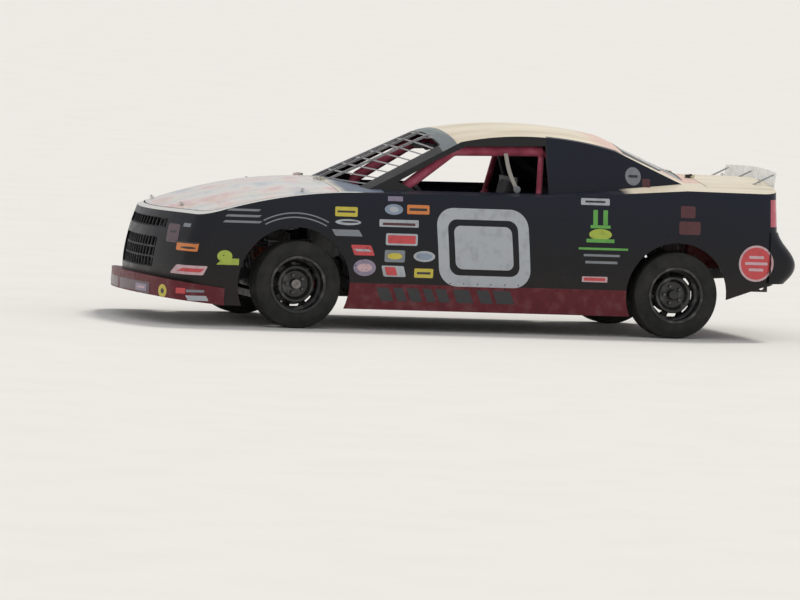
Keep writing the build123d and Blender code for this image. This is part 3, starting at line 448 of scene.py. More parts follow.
NODE_FINISH = {
    "black": "nose_fascia left_fender right_fender left_door_side right_door_side left_quarter right_quarter "
    "tail_cover",
    "cream": "deck_lid",
    "roof": "roof",
    "hood": "hood",
    "blue": "cowl",
    "red": "front_valance rockers",
    "lamp": "tail_lamps",
    "grille": "grille",
    "frame": "frame crossmembers steering_column rear_axle front_arms rear_springs",
    "cage": "roll_cage",
    "floor": "floor_pan",
    "dash": "dash",
    "rim": "front_left_rim front_right_rim rear_left_rim rear_right_rim",
    "grip": "steering_wheel",
    "engine": "engine_block",
    "cell": "fuel_cell",
    "steel": "windscreen_guard spoiler_braces",
    "iron": "left_knuckle right_knuckle driveline",
    "seat": "seat",
    "core": "radiator",
    "clear": "rear_window spoiler",
    "rubber": "front_left_tyre front_right_tyre rear_left_tyre rear_right_tyre",
}


def dress_nodes():
    """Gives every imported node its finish."""
    for finish, names in NODE_FINISH.items():
        for name in names.split():
            piece = frame["nodes"][name]
            piece.data.materials.clear()
            piece.data.materials.append(materials[finish])


# Making pieces


EASED_STEPS, COIL_STEPS = 6, 20


def stand(name, data):
    """A new object of a mesh, light or camera, in the scene."""
    item = bpy.data.objects.new(name, data)
    bpy.context.scene.collection.objects.link(item)
    return item


def mesh_of(name, shape):
    """The mesh of a bmesh, which is used up."""
    mesh = bpy.data.meshes.new(name)
    shape.to_mesh(mesh)
    shape.free()
    return mesh


def settle(piece):
    """Gives a piece the mesh that its modifiers make, and takes them off."""
    bpy.context.view_layer.update()
    graph = bpy.context.evaluated_depsgraph_get()
    mesh = bpy.data.meshes.new_from_object(piece.evaluated_get(graph))
    piece.modifiers.clear()
    piece.data = mesh
    return mesh


def mounted(piece, body, degrees):
    """Puts a piece on a body, smooth but for edges where faces turn by more than the angle."""
    piece.data.shade_smooth()
    piece.data.set_sharp_from_angle(angle=math.radians(degrees))
    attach(piece, body)
    return piece


def keep(name, shape, body, slot, *finishes, degrees=35):
    """Turns a bmesh into a finished piece that rides on a body."""
    bmesh.ops.recalc_face_normals(shape, faces=shape.faces)
    mesh = mesh_of(name, shape)
    for finish in finishes:
        mesh.materials.append(materials[finish])
    return mounted(stand(name, mesh), body, degrees)


def at(x, y, z):
    """A matrix that only moves."""
    return Matrix.Translation((x, y, z))


def spun(degrees, axis="Z"):
    """A matrix that only turns about one axis."""
    return Matrix.Rotation(math.radians(degrees), 4, axis)


def axes_at(point, across, along):
    """A matrix at a point from its X and Y directions."""
    across, along = Vector(across).normalized(), Vector(along).normalized()
    return Matrix.Translation(point) @ Matrix((across, along, across.cross(along))).transposed().to_4x4()


def frame_at(point, direction, across=UPWARD):
    """A matrix with its Z along a direction, at a point."""
    up = Vector(direction).normalized()
    side = Vector(across).cross(up)
    if side.length < 1e-3:
        side = Vector((1, 0, 0)).cross(up)
    side.normalize()
    return Matrix.Translation(point) @ Matrix((side, up.cross(side), up)).transposed().to_4x4()


def turns(count, start=0.0):
    """The angles of equal steps round a full turn."""
    return [math.tau * (number + start) / count for number in range(count)]


def circle(place, radius, height, count):
    """Points round a matrix's Z at a height on it."""
    return [place @ Vector((radius * math.cos(a), radius * math.sin(a), height)) for a in turns(count)]


def stitch(shape, rows, loop=False, material=0):
    """Faces between rings of vertices; the last meets the first in a loop, or else both ends are closed."""
    count = len(rows[0])
    pairs = list(zip(rows, rows[1:])) + ([(rows[-1], rows[0])] if loop else [])
    for here, there in pairs:
        for number in range(count):
            after = (number + 1) % count
            corners = (here[number], here[after], there[after], there[number])
            shape.faces.new(corners).material_index = material
    if not loop:
        for row in (rows[0], rows[-1]):
            shape.faces.new(row).material_index = material


def lathe(shape, outline, place, segments=24, material=0):
    """An open outline of (height, radius) turned about a matrix's Z; ends on the axis are closed."""
    rows = []
    for height, radius in outline:
        points = circle(place, radius, height, segments) if radius else [place @ Vector((0, 0, height))]
        rows.append([shape.verts.new(point) for point in points])
    for low, high in zip(rows, rows[1:]):
        for step in range(segments):
            after = (step + 1) % segments
            places = ((low, step), (low, after), (high, after), (high, step))
            corners = list(dict.fromkeys(row[number % len(row)] for row, number in places))
            if len(corners) > 2:
                shape.faces.new(corners).material_index = material


def block(shape, low, high, bevel=0.0, material=0, place=Matrix()):
    """A box between two corners with rounded edges, moved by a matrix."""
    made = bmesh.ops.create_cube(shape, size=1.0)["verts"]
    size = Vector(high) - Vector(low)
    middle = (Vector(high) + Vector(low)) / 2
    for vertex in made:
        vertex.co = place @ (vertex.co * size + middle)
    faces = {face for vertex in made for face in vertex.link_faces}
    for face in faces:
        face.material_index = material
    if bevel:
        edges = {edge for face in faces for edge in face.edges}
        bmesh.ops.bevel(shape, geom=list(edges), offset=bevel, segments=2, affect="EDGES", profile=0.6)


def hoop(shape, place, radius, wire, segments=32, sides=10, material=0):
    """A closed ring of round wire about a matrix's Z."""
    rows = []
    for turn in turns(segments):
        row = []
        for angle in turns(sides):
            away = radius + wire * math.cos(angle)
            point = Vector((away * math.cos(turn), away * math.sin(turn), wire * math.sin(angle)))
            row.append(shape.verts.new(place @ point))
        rows.append(row)
    stitch(shape, rows, True, material)


def eased(points):
    """A smooth line through some points."""
    points = [Vector(point) for point in points]
    line = []
    for number in range(len(points) - 1):
        start, end = points[number], points[number + 1]
        before = points[max(0, number - 1)]
        beyond = points[min(len(points) - 1, number + 2)]
        for step in range(EASED_STEPS):
            t = step / EASED_STEPS
            bend = 2 * before - 5 * start + 4 * end - beyond
            twist = 3 * start - before - 3 * end + beyond
            line.append(0.5 * (2 * start + (end - before) * t + bend * t * t + twist * t ** 3))
    return line + [points[-1]]


def swept(shape, points, outline, across=LEFTWARD, material=0):
    """A closed outline carried along a line of points, its first axis held near one direction."""
    rows = []
    across = Vector(across)
    for number, point in enumerate(points):
        ahead = (points[min(len(points) - 1, number + 1)] - points[max(0, number - 1)]).normalized()
        side = (across - ahead * ahead.dot(across)).normalized()
        up = ahead.cross(side)
        rows.append([shape.verts.new(point + side * x + up * y) for x, y in outline])
    stitch(shape, rows, material=material)


def coil(shape, foot, height, radius, wire, rounds):
    """A coil spring that stands on a point."""
    steps = int(rounds * COIL_STEPS)
    line = []
    for step in range(steps + 1):
        angle = math.tau * rounds * step / steps
        rise = wire + (height - 2 * wire) * step / steps
        line.append(foot + Vector((radius * math.cos(angle), radius * math.sin(angle), rise)))
    swept(shape, line, oval(2 * wire, 2 * wire, 8), UPWARD)


def filled(outlines):
    """A flat sheet as a bmesh of its own; the outlines after the first are holes."""
    flat = bmesh.new()
    edges = []
    for outline in outlines:
        ring = [flat.verts.new((x, y, 0)) for x, y in outline]
        edges += [flat.edges.new((a, b)) for a, b in zip(ring, ring[1:] + ring[:1])]
    bmesh.ops.triangle_fill(flat, edges=edges, use_beauty=True)
    return flat


def doubled(shape, flat, heights, spot_at, material):
    """Lays a flat sheet at two heights and closes its edges; faces that miss a spot are left out."""
    layers = []
    for height in heights:
        spots = [(v, spot_at(v.co.x, v.co.y, height)) for v in flat.verts]
        layers.append({v: shape.verts.new(spot) for v, spot in spots if spot is not None})
    under, over = layers
    whole = [f for f in flat.faces if all(v in under for v in f.verts)]
    kept = set(whole)
    for face in whole:
        shape.faces.new([over[v] for v in face.verts]).material_index = material
        shape.faces.new([under[v] for v in reversed(face.verts)]).material_index = material
        for edge in face.edges:
            if sum(other in kept for other in edge.link_faces) == 1:
                a, b = edge.verts
                shape.faces.new((under[a], under[b], over[b], over[a])).material_index = material
    flat.free()


def plate(shape, outlines, place, thickness, material=0):
    """A flat closed sheet in a matrix's XY plane."""
    heights = (0, thickness)
    doubled(shape, filled(outlines), heights, lambda x, y, height: place @ Vector((x, y, height)), material)


def bar(shape, start, end, radius, segments=12, material=0):
    """A round bar between two points, its ends closed."""
    start, end = Vector(start), Vector(end)
    length = (end - start).length
    outline = ((0, 0), (0, radius), (length, radius), (length, 0))
    lathe(shape, outline, frame_at(start, end - start), segments, material)


# Stickers and other thin skins that lie on the body


DIRECTIONS = {
    "left": Vector((0, -1, 0)),
    "right": Vector((0, 1, 0)),
    "front": Vector((-1, 0, 0)),
    "top": Vector((0, 0, -1)),
}
FAR_OFF = 4.0
SKIN_LIFT = 0.0004
SKIN_THICKNESS = 0.0009
SKIN_CELL = 0.03
surfaces = {}


def surface(names):
    """A search tree over the triangles of some nodes."""
    if names not in surfaces:
        vertices, polygons = [], []
        for name in names.split():
            mesh = frame["nodes"][name].data
            start = len(vertices)
            vertices += [v.co.copy() for v in mesh.vertices]
            polygons += [[start + i for i in p.vertices] for p in mesh.polygons]
        surfaces[names] = BVHTree.FromPolygons(vertices, polygons)
    return surfaces[names]


def lay_point(names, way, first, second, lift):
    """The point on some nodes that is seen at two coordinates, lifted off the skin; None if it misses."""
    direction = DIRECTIONS[way]
    if way in ("left", "right"):
        start = Vector((first, 0, second))
    elif way == "top":
        start = Vector((first, second, 0))
    else:
        start = Vector((0, first, second))
    hit, normal, _, _ = surface(names).ray_cast(start - direction * FAR_OFF, direction)
    if hit is None:
        return None
    return hit + normal * (-lift if normal.dot(direction) > 0 else lift)


def rounded(width, height, slant, corner, steps=4):
    """Outline of a rectangle with round corners, its top moved forward by the slant."""
    half_width, half_height = width / 2 - corner, height / 2 - corner
    points = []
    for number, (x, y) in enumerate(((1, 1), (-1, 1), (-1, -1), (1, -1))):
        for step in range(steps + 1):
            angle = math.pi / 2 * (number + step / steps)
            high = y * half_height + corner * math.sin(angle)
            points.append((x * half_width + corner * math.cos(angle) + slant * high / height, high))
    return points


def oval(width, height, steps=32):
    """Outline of an ellipse."""
    return [(width / 2 * math.cos(a), height / 2 * math.sin(a)) for a in turns(steps)]


def skin(shape, outlines, centre, way, names, lift=SKIN_LIFT, cell=SKIN_CELL, material=0):
    """A thin closed skin: an outline, less its holes, laid on the nodes around a centre."""
    flat = filled(outlines)
    for axis in (0, 1):
        values = [v.co[axis] for v in flat.verts]
        low, high = min(values), max(values)
        steps = max(1, int((high - low) / cell))
        for number in range(1, steps):
            place, normal = Vector(), Vector()
            place[axis] = low + (high - low) * number / steps
            normal[axis] = 1
            everything = flat.verts[:] + flat.edges[:] + flat.faces[:]
            bmesh.ops.bisect_plane(flat, geom=everything, plane_co=place, plane_no=normal)

    def spot_at(x, y, height):
        return lay_point(names, way, centre[0] + x, centre[1] + y, height)

    doubled(shape, flat, (lift, lift + SKIN_THICKNESS), spot_at, material)
    loose = [v for v in shape.verts if not v.link_faces]
    bmesh.ops.delete(shape, geom=loose, context="VERTS")


# Geometry Nodes for what repeats


HEAD_SIZE = 1.0


def scatter_tree(name, head, finish):
    """A tree that puts one small head on every point of a mesh, turned to the point's own normal."""
    tree = bpy.data.node_groups.new(name, "GeometryNodeTree")
    for way in ("INPUT", "OUTPUT"):
        tree.interface.new_socket(name="Geometry", in_out=way, socket_type="NodeSocketGeometry")
    size = tree.interface.new_socket(name="Head Size", in_out="INPUT", socket_type="NodeSocketFloat")
    size.default_value = HEAD_SIZE
    nodes = tree.nodes
    entry, leave = nodes.new("NodeGroupInput"), nodes.new("NodeGroupOutput")
    source = nodes.new("GeometryNodeObjectInfo")
    source.inputs["Object"].default_value = head
    place = nodes.new("GeometryNodeInstanceOnPoints")
    normal = nodes.new("GeometryNodeInputNamedAttribute")
    normal.data_type = "FLOAT_VECTOR"
    normal.inputs["Name"].default_value = "out"
    turn = nodes.new("FunctionNodeAlignRotationToVector")
    turn.axis = "Z"
    realize = nodes.new("GeometryNodeRealizeInstances")
    paint = nodes.new("GeometryNodeSetMaterial")
    paint.inputs["Material"].default_value = finish
    for start, output, end, socket in (
        (entry, "Geometry", place, "Points"),
        (entry, "Head Size", place, "Scale"),
        (source, "Geometry", place, "Instance"),
        (normal, "Attribute", turn, "Vector"),
        (turn, "Rotation", place, "Rotation"),
        (place, "Instances", realize, "Geometry"),
        (realize, "Geometry", paint, "Geometry"),
        (paint, "Geometry", leave, "Geometry"),
    ):
        tree.links.new(start.outputs[output], end.inputs[socket])
    return tree, size.identifier


def scatter(name, spots, head_outline, segments, body, finish):
    """One head of a lathed outline on each spot; a spot is a point and the direction that it faces."""
    shape = bmesh.new()
    lathe(shape, head_outline, Matrix(), segments)
    bmesh.ops.recalc_face_normals(shape, faces=shape.faces)
    head = stand(name + "_head", mesh_of(name + "_head", shape))
    points = bpy.data.meshes.new(name + "_points")
    points.from_pydata([spot for spot, _ in spots], [], [])
    facing = points.attributes.new("out", "FLOAT_VECTOR", "POINT")
    for item, (_, out) in zip(facing.data, spots):
        item.vector = out
    piece = stand(name, points)
    tree, size = scatter_tree(name + "_tree", head, materials[finish])
    modifier = piece.modifiers.new("Heads", "NODES")
    modifier.node_group = tree
    modifier[size] = HEAD_SIZE
    settle(piece).name = name
    bpy.data.objects.remove(head)
    return mounted(piece, body, 40)


# Wheels


# Tyre from the tread's edge to the bead, in shares of its half width and its radius
TYRE_SIDE = (
    (0.8, 1.0), (0.90, 0.984), (0.945, 0.95), (0.955, 0.935), (0.948, 0.93), (0.985, 0.87), (0.992, 0.862),
    (0.998, 0.85), (1.0, 0.80), (0.992, 0.745), (0.982, 0.738), (0.976, 0.725), (0.95, 0.69), (0.915, 0.664),
    (0.892, 0.6525),
)
BEAD_SHARE = 0.868
GROOVE_PLACES = (0.5, 0.17, -0.17, -0.5)
GROOVE_HALF, GROOVE_DEPTH = 0.0035, 0.005


def tyre_outline(half_width, radius, bead_radius):
    """Tyre section as (across, radius): grooved tread, round shoulders, ribbed sidewalls, open beads."""
    side = [(across * half_width, away * radius) for across, away in TYRE_SIDE]
    side.append((BEAD_SHARE * half_width, bead_radius))
    grooves = []
    for place in GROOVE_PLACES:
        for edge, depth in ((1, 0), (0.7, GROOVE_DEPTH), (-0.7, GROOVE_DEPTH), (-1, 0)):
            grooves.append((place * half_width + edge * GROOVE_HALF, radius - depth))
    return side[::-1] + grooves + [(-across, away) for across, away in side]


def make_tyres(settings):
    """Each plain tyre's grooved and ribbed stand-in, its section turned about the line across the car."""
    low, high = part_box("front_left_tyre")
    outline = tyre_outline((high.y - low.y) / 2, (high.z - low.z) / 2, settings.bead_radius)
    for corner in CORNERS:
        centre, side = hub(corner)
        shape = bmesh.new()
        rows = []
        for angle in turns(settings.tyre_steps):
            row = []
            for across, away in outline:
                x, z = centre.x + away * math.sin(angle), centre.z + away * math.cos(angle)
                row.append(shape.verts.new((x, centre.y + side * across, z)))
            rows.append(row)
        stitch(shape, rows, True)
        piece = keep(corner + "_racing_tyre", shape, corner + "_wheel", "tyre_rubber", "rubber", degrees=28)
        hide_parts(corner + "_tyre")


LUG_NUT = ((0, 0.0), (0, 0.015), (0.010, 0.013), (0.022, 0.0125), (0.024, 0.009), (0.024, 0.0))
DUST_CAP = ((0, 0.0), (0, 0.033), (0.004, 0.038), (0.030, 0.036), (0.036, 0.030), (0.038, 0.0))
VALVE_AHEAD, VALVE_OUT, VALVE_RADIUS = 0.155, 0.02, 0.004


def make_wheel_trim(settings):
    """Lug nuts on each wheel, and its dust cap and valve as one piece."""
    for corner in CORNERS:
        centre, side = hub(corner)
        face = centre.y + side * settings.lug_face
        spots = []
        for angle in turns(settings.lug_count, 0.25):
            across, up = settings.lug_circle * math.sin(angle), settings.lug_circle * math.cos(angle)
            spots.append((Vector((centre.x + across, face, centre.z + up)), Vector((0, side, 0))))
        scatter(corner + "_lug_nuts", spots, LUG_NUT, 6, corner + "_wheel", "dull")
        shape = bmesh.new()
        lathe(shape, DUST_CAP, frame_at((centre.x, face, centre.z), (0, side, 0)), 32)
        valve = centre + Vector((VALVE_AHEAD, side * VALVE_OUT, 0))
        bar(shape, valve, valve + Vector((-0.012, side * 0.035, 0)), VALVE_RADIUS)
        keep(corner + "_dust_cap", shape, corner + "_wheel", "bar_steel", "rim")


# Stickers


BODY_LEFT = "nose_fascia left_fender left_door_side left_quarter rockers tail_cover front_valance"
BODY_RIGHT = BODY_LEFT.replace("left_", "right_")
SIDE_NODES = {"left": BODY_LEFT, "right": BODY_RIGHT}

STICKER_COLORS = {
    "white": (0.44, 0.47, 0.51),
    "orange": (0.70, 0.22, 0.05),
    "yellow": (0.62, 0.52, 0.06),
    "red": (0.60, 0.06, 0.07),
    "pink": (0.62, 0.42, 0.46),
    "green": (0.12, 0.40, 0.07),
    "lime": (0.40, 0.50, 0.06),
    "grey": (0.22, 0.24, 0.27),
    "blue": (0.26, 0.32, 0.42),
    "violet": (0.28, 0.24, 0.34),
    "dusk": (0.105, 0.060, 0.080),
    "wine": (0.09, 0.02, 0.025),
    "dark": (0.02, 0.02, 0.025),
}

# Blank stickers on the body side: colour, shape, middle X and Z, width, height, forward slant
SIDE_STICKERS = (
    ("orange", "box", 2.128, 0.556, 0.115, 0.062, -0.01),
    ("dark", "box", 2.128, 0.584, 0.115, 0.012, 0.0),
    ("dark", "oval", 2.128, 0.548, 0.080, 0.016, 0.0),
    ("pink", "box", 2.110, 0.392, 0.190, 0.066, -0.03),
    ("red", "box", 2.106, 0.392, 0.140, 0.026, -0.03),
    ("lime", "oval", 1.880, 0.500, 0.110, 0.085, 0.0),
    ("lime", "box", 1.815, 0.462, 0.200, 0.046, -0.05),
    ("white", "box", 2.070, 0.196, 0.150, 0.036, 0.02),
    ("grey", "box", 2.085, 0.246, 0.130, 0.018, 0.0),
    ("red", "box", 2.185, 0.245, 0.060, 0.040, 0.0),
    ("grey", "box", 1.750, 0.832, 0.230, 0.016, -0.02),
    ("grey", "box", 1.755, 0.790, 0.250, 0.016, -0.02),
    ("grey", "box", 1.760, 0.748, 0.270, 0.016, -0.02),
    ("yellow", "box", 1.000, 0.842, 0.165, 0.068, 0.0),
    ("dark", "box", 1.000, 0.842, 0.130, 0.014, 0.0),
    ("white", "oval", 0.985, 0.768, 0.190, 0.042, 0.0),
    ("dark", "oval", 0.975, 0.770, 0.130, 0.014, 0.0),
    ("grey", "box", 0.990, 0.692, 0.200, 0.046, 0.03),
    ("violet", "box", 0.640, 0.944, 0.110, 0.034, 0.0),
    ("blue", "oval", 0.650, 0.868, 0.135, 0.076, 0.0),
    ("white", "oval", 0.650, 0.868, 0.070, 0.040, 0.0),
    ("orange", "box", 0.470, 0.872, 0.165, 0.066, 0.0),
    ("dark", "box", 0.470, 0.872, 0.130, 0.018, 0.0),
    ("white", "box", 0.610, 0.770, 0.290, 0.052, 0.0),
    ("wine", "box", 0.610, 0.764, 0.240, 0.018, 0.0),
    ("white", "box", 0.586, 0.656, 0.235, 0.084, 0.0),
    ("red", "box", 0.586, 0.656, 0.205, 0.058, 0.0),
    ("red", "box", 0.870, 0.572, 0.150, 0.074, 0.03),
    ("white", "box", 0.870, 0.572, 0.110, 0.016, 0.03),
    ("violet", "oval", 0.850, 0.448, 0.165, 0.120, 0.0),
    ("pink", "oval", 0.850, 0.448, 0.110, 0.060, 0.0),
    ("grey", "box", 0.632, 0.536, 0.150, 0.086, 0.0),
    ("yellow", "oval", 0.632, 0.536, 0.110, 0.045, 0.0),
    ("white", "oval", 0.414, 0.540, 0.160, 0.078, 0.0),
    ("blue", "oval", 0.414, 0.540, 0.120, 0.045, 0.0),
    ("white", "box", 0.635, 0.428, 0.165, 0.078, 0.02),
    ("red", "box", 0.655, 0.428, 0.080, 0.060, 0.02),
    ("yellow", "box", 0.412, 0.420, 0.140, 0.066, 0.0),
    ("dark", "box", 0.412, 0.420, 0.100, 0.016, 0.0),
    ("white", "box", -0.847, 0.968, 0.215, 0.048, 0.0),
    ("dark", "box", -0.847, 0.968, 0.150, 0.014, 0.0),
    ("green", "box", -0.850, 0.850, 0.034, 0.120, 0.0),
    ("green", "box", -0.925, 0.850, 0.034, 0.120, 0.0),
    ("green", "box", -0.888, 0.790, 0.150, 0.022, 0.0),
    ("lime", "oval", -0.890, 0.735, 0.170, 0.080, 0.0),
    ("green", "box", -0.890, 0.690, 0.210, 0.026, 0.0),
    ("green", "box", -0.915, 0.632, 0.370, 0.016, 0.0),
    ("grey", "box", -0.905, 0.585, 0.270, 0.016, 0.0),
    ("grey", "box", -0.905, 0.535, 0.240, 0.018, 0.0),
    ("pink", "box", -0.862, 0.412, 0.190, 0.040, 0.0),
    ("red", "box", -0.862, 0.412, 0.160, 0.022, 0.0),
    ("wine", "box", -1.545, 0.915, 0.110, 0.085, 0.0),
    ("wine", "box", -1.560, 0.800, 0.160, 0.095, 0.0),
    ("grey", "oval", -1.185, 1.150, 0.120, 0.130, 0.0),
    ("dark", "box", -1.185, 1.150, 0.070, 0.018, 0.0),
    ("wine", "box", -1.285, 1.105, 0.060, 0.060, 0.0),
)
# Blank nose stickers on both halves, one a painted highlight: colour, shape, middle Y and Z, width, height,
# slant
NOSE_STICKERS = (
    ("dusk", "box", 0.640, 0.640, 0.150, 0.130, -0.03),
    ("dark", "box", 0.640, 0.650, 0.080, 0.014, 0.0),
    ("grey", "box", 0.775, 0.705, 0.080, 0.026, 0.0),
    # A painted highlight: the bright grey-blue line along the bumper's top edge
    ("blue", "box", 0.240, 0.592, 0.440, 0.016, 0.0),
    ("dusk", "box", 0.300, 0.240, 0.560, 0.085, 0.0),
    ("violet", "box", 0.455, 0.240, 0.170, 0.050, 0.0),
    ("pink", "box", 0.455, 0.240, 0.110, 0.014, 0.0),
    ("yellow", "oval", 0.745, 0.232, 0.095, 0.095, 0.0),
    ("dark", "oval", 0.745, 0.232, 0.036, 0.036, 0.0),
)
NUMBER_PLACE = (-0.025, 0.612)
# Dark slanted bars on the red rocker: middle X, width
ROCKER_BARS = (
    (0.690, 0.090),
    (0.575, 0.070),
    (0.470, 0.085),
    (0.360, 0.065),
    (0.262, 0.080),
    (0.110, 0.120),
    (-0.050, 0.090),
    (-0.190, 0.130),
)
STICKER_CORNER = 0.12
NOSE_NODES = "nose_fascia front_valance"
# Finer cells where the body's nose bends
NOSE_START, NOSE_SIDE_CELL, NOSE_CELL, SIDE_CELL = 1.98, 0.012, 0.014, 0.04
# Number frame: how much smaller than the whole, slant, corner
NUMBER_OUTLINES = ((0.0, 0.05, 0.13), (0.16, 0.035, 0.07), (0.25, 0.03, 0.05))
ROCKER_Z, ROCKER_BAR_HEIGHT = 0.262, 0.095
ARCH_LINES, ARCH_LINE_WIDTH = (0.475, 0.505), 0.009
ARCH_LINE_AHEAD, ARCH_LINE_START, ARCH_LINE_TURN, ARCH_LINE_STEPS = 0.04, 62, 3.5, 16
BADGE_PLACE, BADGE_SIZE, BADGE_INNER, BADGE_CELL = (-2.070, 0.560), 0.262, 0.232, 0.015
# Bars on the round badge: distance from its middle and length
BADGE_BARS = ((0.045, 0.11), (0.0, 0.17), (-0.045, 0.11))


def sticker_outline(kind, width, height, slant):
    if kind == "oval":
        return oval(width, height)
    return rounded(width, height, slant, min(width, height) * STICKER_CORNER, 2)


def layers_under(earlier, across, up, width, height):
    """How many earlier stickers lie under one."""
    return sum(
        abs(across - row[2]) < (width + row[4]) / 2 and abs(up - row[3]) < (height + row[5]) / 2
        for row in earlier
    )


def lay_stickers(shape, rows, way, nodes, side, cell, nose_cell):
    """Lays a table of blank stickers, each above the earlier ones under it, with finer cells on the nose."""
    numbers = {name: number for number, name in enumerate(STICKER_COLORS)}
    for number, (color, kind, across, up, width, height, slant) in enumerate(rows):
        outline = sticker_outline(kind, width, height, slant)
        lift = SKIN_LIFT + SKIN_THICKNESS * layers_under(rows[:number], across, up, width, height)
        size = nose_cell if across > NOSE_START else cell
        skin(shape, [outline], (side * across, up), way, nodes, lift, size, numbers[color])


def make_stickers(settings):
    """Blank stickers of the photograph's sizes and colours, the same on both sides."""
    for name, color in STICKER_COLORS.items():
        materials["sticker_" + name] = sticker("sticker_" + name, color)
    finishes = ["sticker_" + name for name in STICKER_COLORS]
    dark = list(STICKER_COLORS).index("dark")
    for way, side in SIDES:
        nodes = SIDE_NODES[way]
        shape = bmesh.new()
        lay_stickers(shape, SIDE_STICKERS, way, nodes, 1, SIDE_CELL, NOSE_SIDE_CELL)
        for x, width in ROCKER_BARS:
            outline = rounded(width, ROCKER_BAR_HEIGHT, 0.04, 0.006, 2)
            skin(shape, [outline], (x, ROCKER_Z), way, nodes, material=dark)
        keep(way + "_side_stickers", shape, CHASSIS, "body_black", *finishes)

        # Stickers on this half of the nose and its lip
        shape = bmesh.new()
        lay_stickers(shape, NOSE_STICKERS, "front", NOSE_NODES, side, NOSE_CELL, NOSE_CELL)
        keep(way + "_nose_stickers", shape, CHASSIS, "body_black", *finishes)

        # A plain slanted frame in place of a race number
        shape = bmesh.new()
        width, height = settings.number_size
        outer, inner, panel = (
            rounded(width - less, height - less, slant, corner, 8) for less, slant, corner in NUMBER_OUTLINES
        )
        for outlines in ([outer, inner], [panel]):
            skin(shape, outlines, NUMBER_PLACE, way, nodes)
        keep(way + "_number_frame", shape, CHASSIS, "body_black", "sticker_white")

        # Arch of pale lines over the front wheel
        shape = bmesh.new()
        for radius in ARCH_LINES:
            steps = range(ARCH_LINE_STEPS + 1)
            angles = [math.radians(ARCH_LINE_START + ARCH_LINE_TURN * step) for step in steps]
            arc = [
                (away * math.cos(a), away * math.sin(a))
                for away, row in ((radius + ARCH_LINE_WIDTH, angles), (radius, angles[::-1]))
                for a in row
            ]
            skin(shape, [arc], (FRONT_AXLE + ARCH_LINE_AHEAD, HUB_HEIGHT), way, nodes)
        keep(way + "_arch_lines", shape, CHASSIS, "body_black", "sticker_grey")

        # Round badge with blank bars behind the rear wheel
        shape = bmesh.new()
        x, z = BADGE_PLACE
        rows = [(oval(BADGE_SIZE, BADGE_SIZE, 48), z, 0, 0), (oval(BADGE_INNER, BADGE_INNER, 48), z, 1, 1)]
        rows += [(rounded(length, 0.020, 0, 0.004, 2), z + rise, 2, 0) for rise, length in BADGE_BARS]
        for outline, middle_z, layer, finish in rows:
            lift = SKIN_LIFT + SKIN_THICKNESS * layer
            skin(shape, [outline], (x, middle_z), way, nodes, lift, BADGE_CELL, finish)
        keep(way + "_round_badge", shape, CHASSIS, "body_black", "sticker_pink", "sticker_red")


# Fasteners of the body


PIN_PLATE = ((-0.002, 0.0), (-0.002, 0.021), (0.0012, 0.021), (0.002, 0.019), (0.002, 0.006))
PIN_HEIGHT, PIN_RADIUS = 0.024, 0.0055
RING_HEIGHT, RING_RADIUS, RING_WIRE = 0.014, 0.013, 0.0016
RIVET_HEAD = ((0, 0.0), (0, 0.0055), (0.0016, 0.0046), (0.0024, 0.0025), (0.0027, 0.0))
# Seams of the sheet sides by X, with a rivet row at a step from them, then the foot, top and gap of the row
SEAM_STEP = 0.016
DOOR_FRONT, DOOR_REAR, NOSE_SEAM, TAIL_SEAM = 0.8525, -0.6275, 1.8725, -2.1725
SEAM_ROWS = (
    (DOOR_FRONT + SEAM_STEP, 0.360, 0.940, 0.075),
    (DOOR_FRONT - SEAM_STEP, 0.360, 0.970, 0.075),
    (DOOR_REAR + SEAM_STEP, 0.360, 0.980, 0.075),
    (DOOR_REAR - SEAM_STEP, 0.360, 0.980, 0.075),
    (NOSE_SEAM - SEAM_STEP, 0.560, 0.780, 0.070),
    (NOSE_SEAM + SEAM_STEP, 0.300, 0.780, 0.070),
    (TAIL_SEAM + SEAM_STEP, 0.420, 0.800, 0.070),
)
# Rivet rows along the car: front and rear X, Z, gap
LONG_ROWS = ((0.820, -0.600, 0.352, 0.100), (0.780, -0.980, 0.322, 0.100), (1.900, 2.150, 0.322, 0.080))
# Rivets of one arch; its turns are in degrees up from straight ahead
ARCH_RIVETS, ARCH_START, ARCH_END = 15, 20, 160
# Quick-release pins, left and right: the lid, which is a body and a node, X and Y
LID_PINS = (("hood", 2.090, 0.450), ("hood", 1.300, 0.800), ("deck_lid", -2.220, 0.450))


def face_at(names, way, first, second):
    """A point on some nodes and the direction that the surface faces there."""
    low = lay_point(names, way, first, second, 0.0)
    if low is None:
        return None
    return low, lay_point(names, way, first, second, 1.0) - low


def arch_spots(way, nodes, axle_x, radius):
    """Spots on the body side along an arch about an axle."""
    spots = []
    for number in range(ARCH_RIVETS):
        turn = math.radians(ARCH_START + (ARCH_END - ARCH_START) * number / (ARCH_RIVETS - 1))
        x, z = axle_x + radius * math.cos(turn), HUB_HEIGHT + radius * math.sin(turn)
        spots.append(face_at(nodes, way, x, z))
    return spots


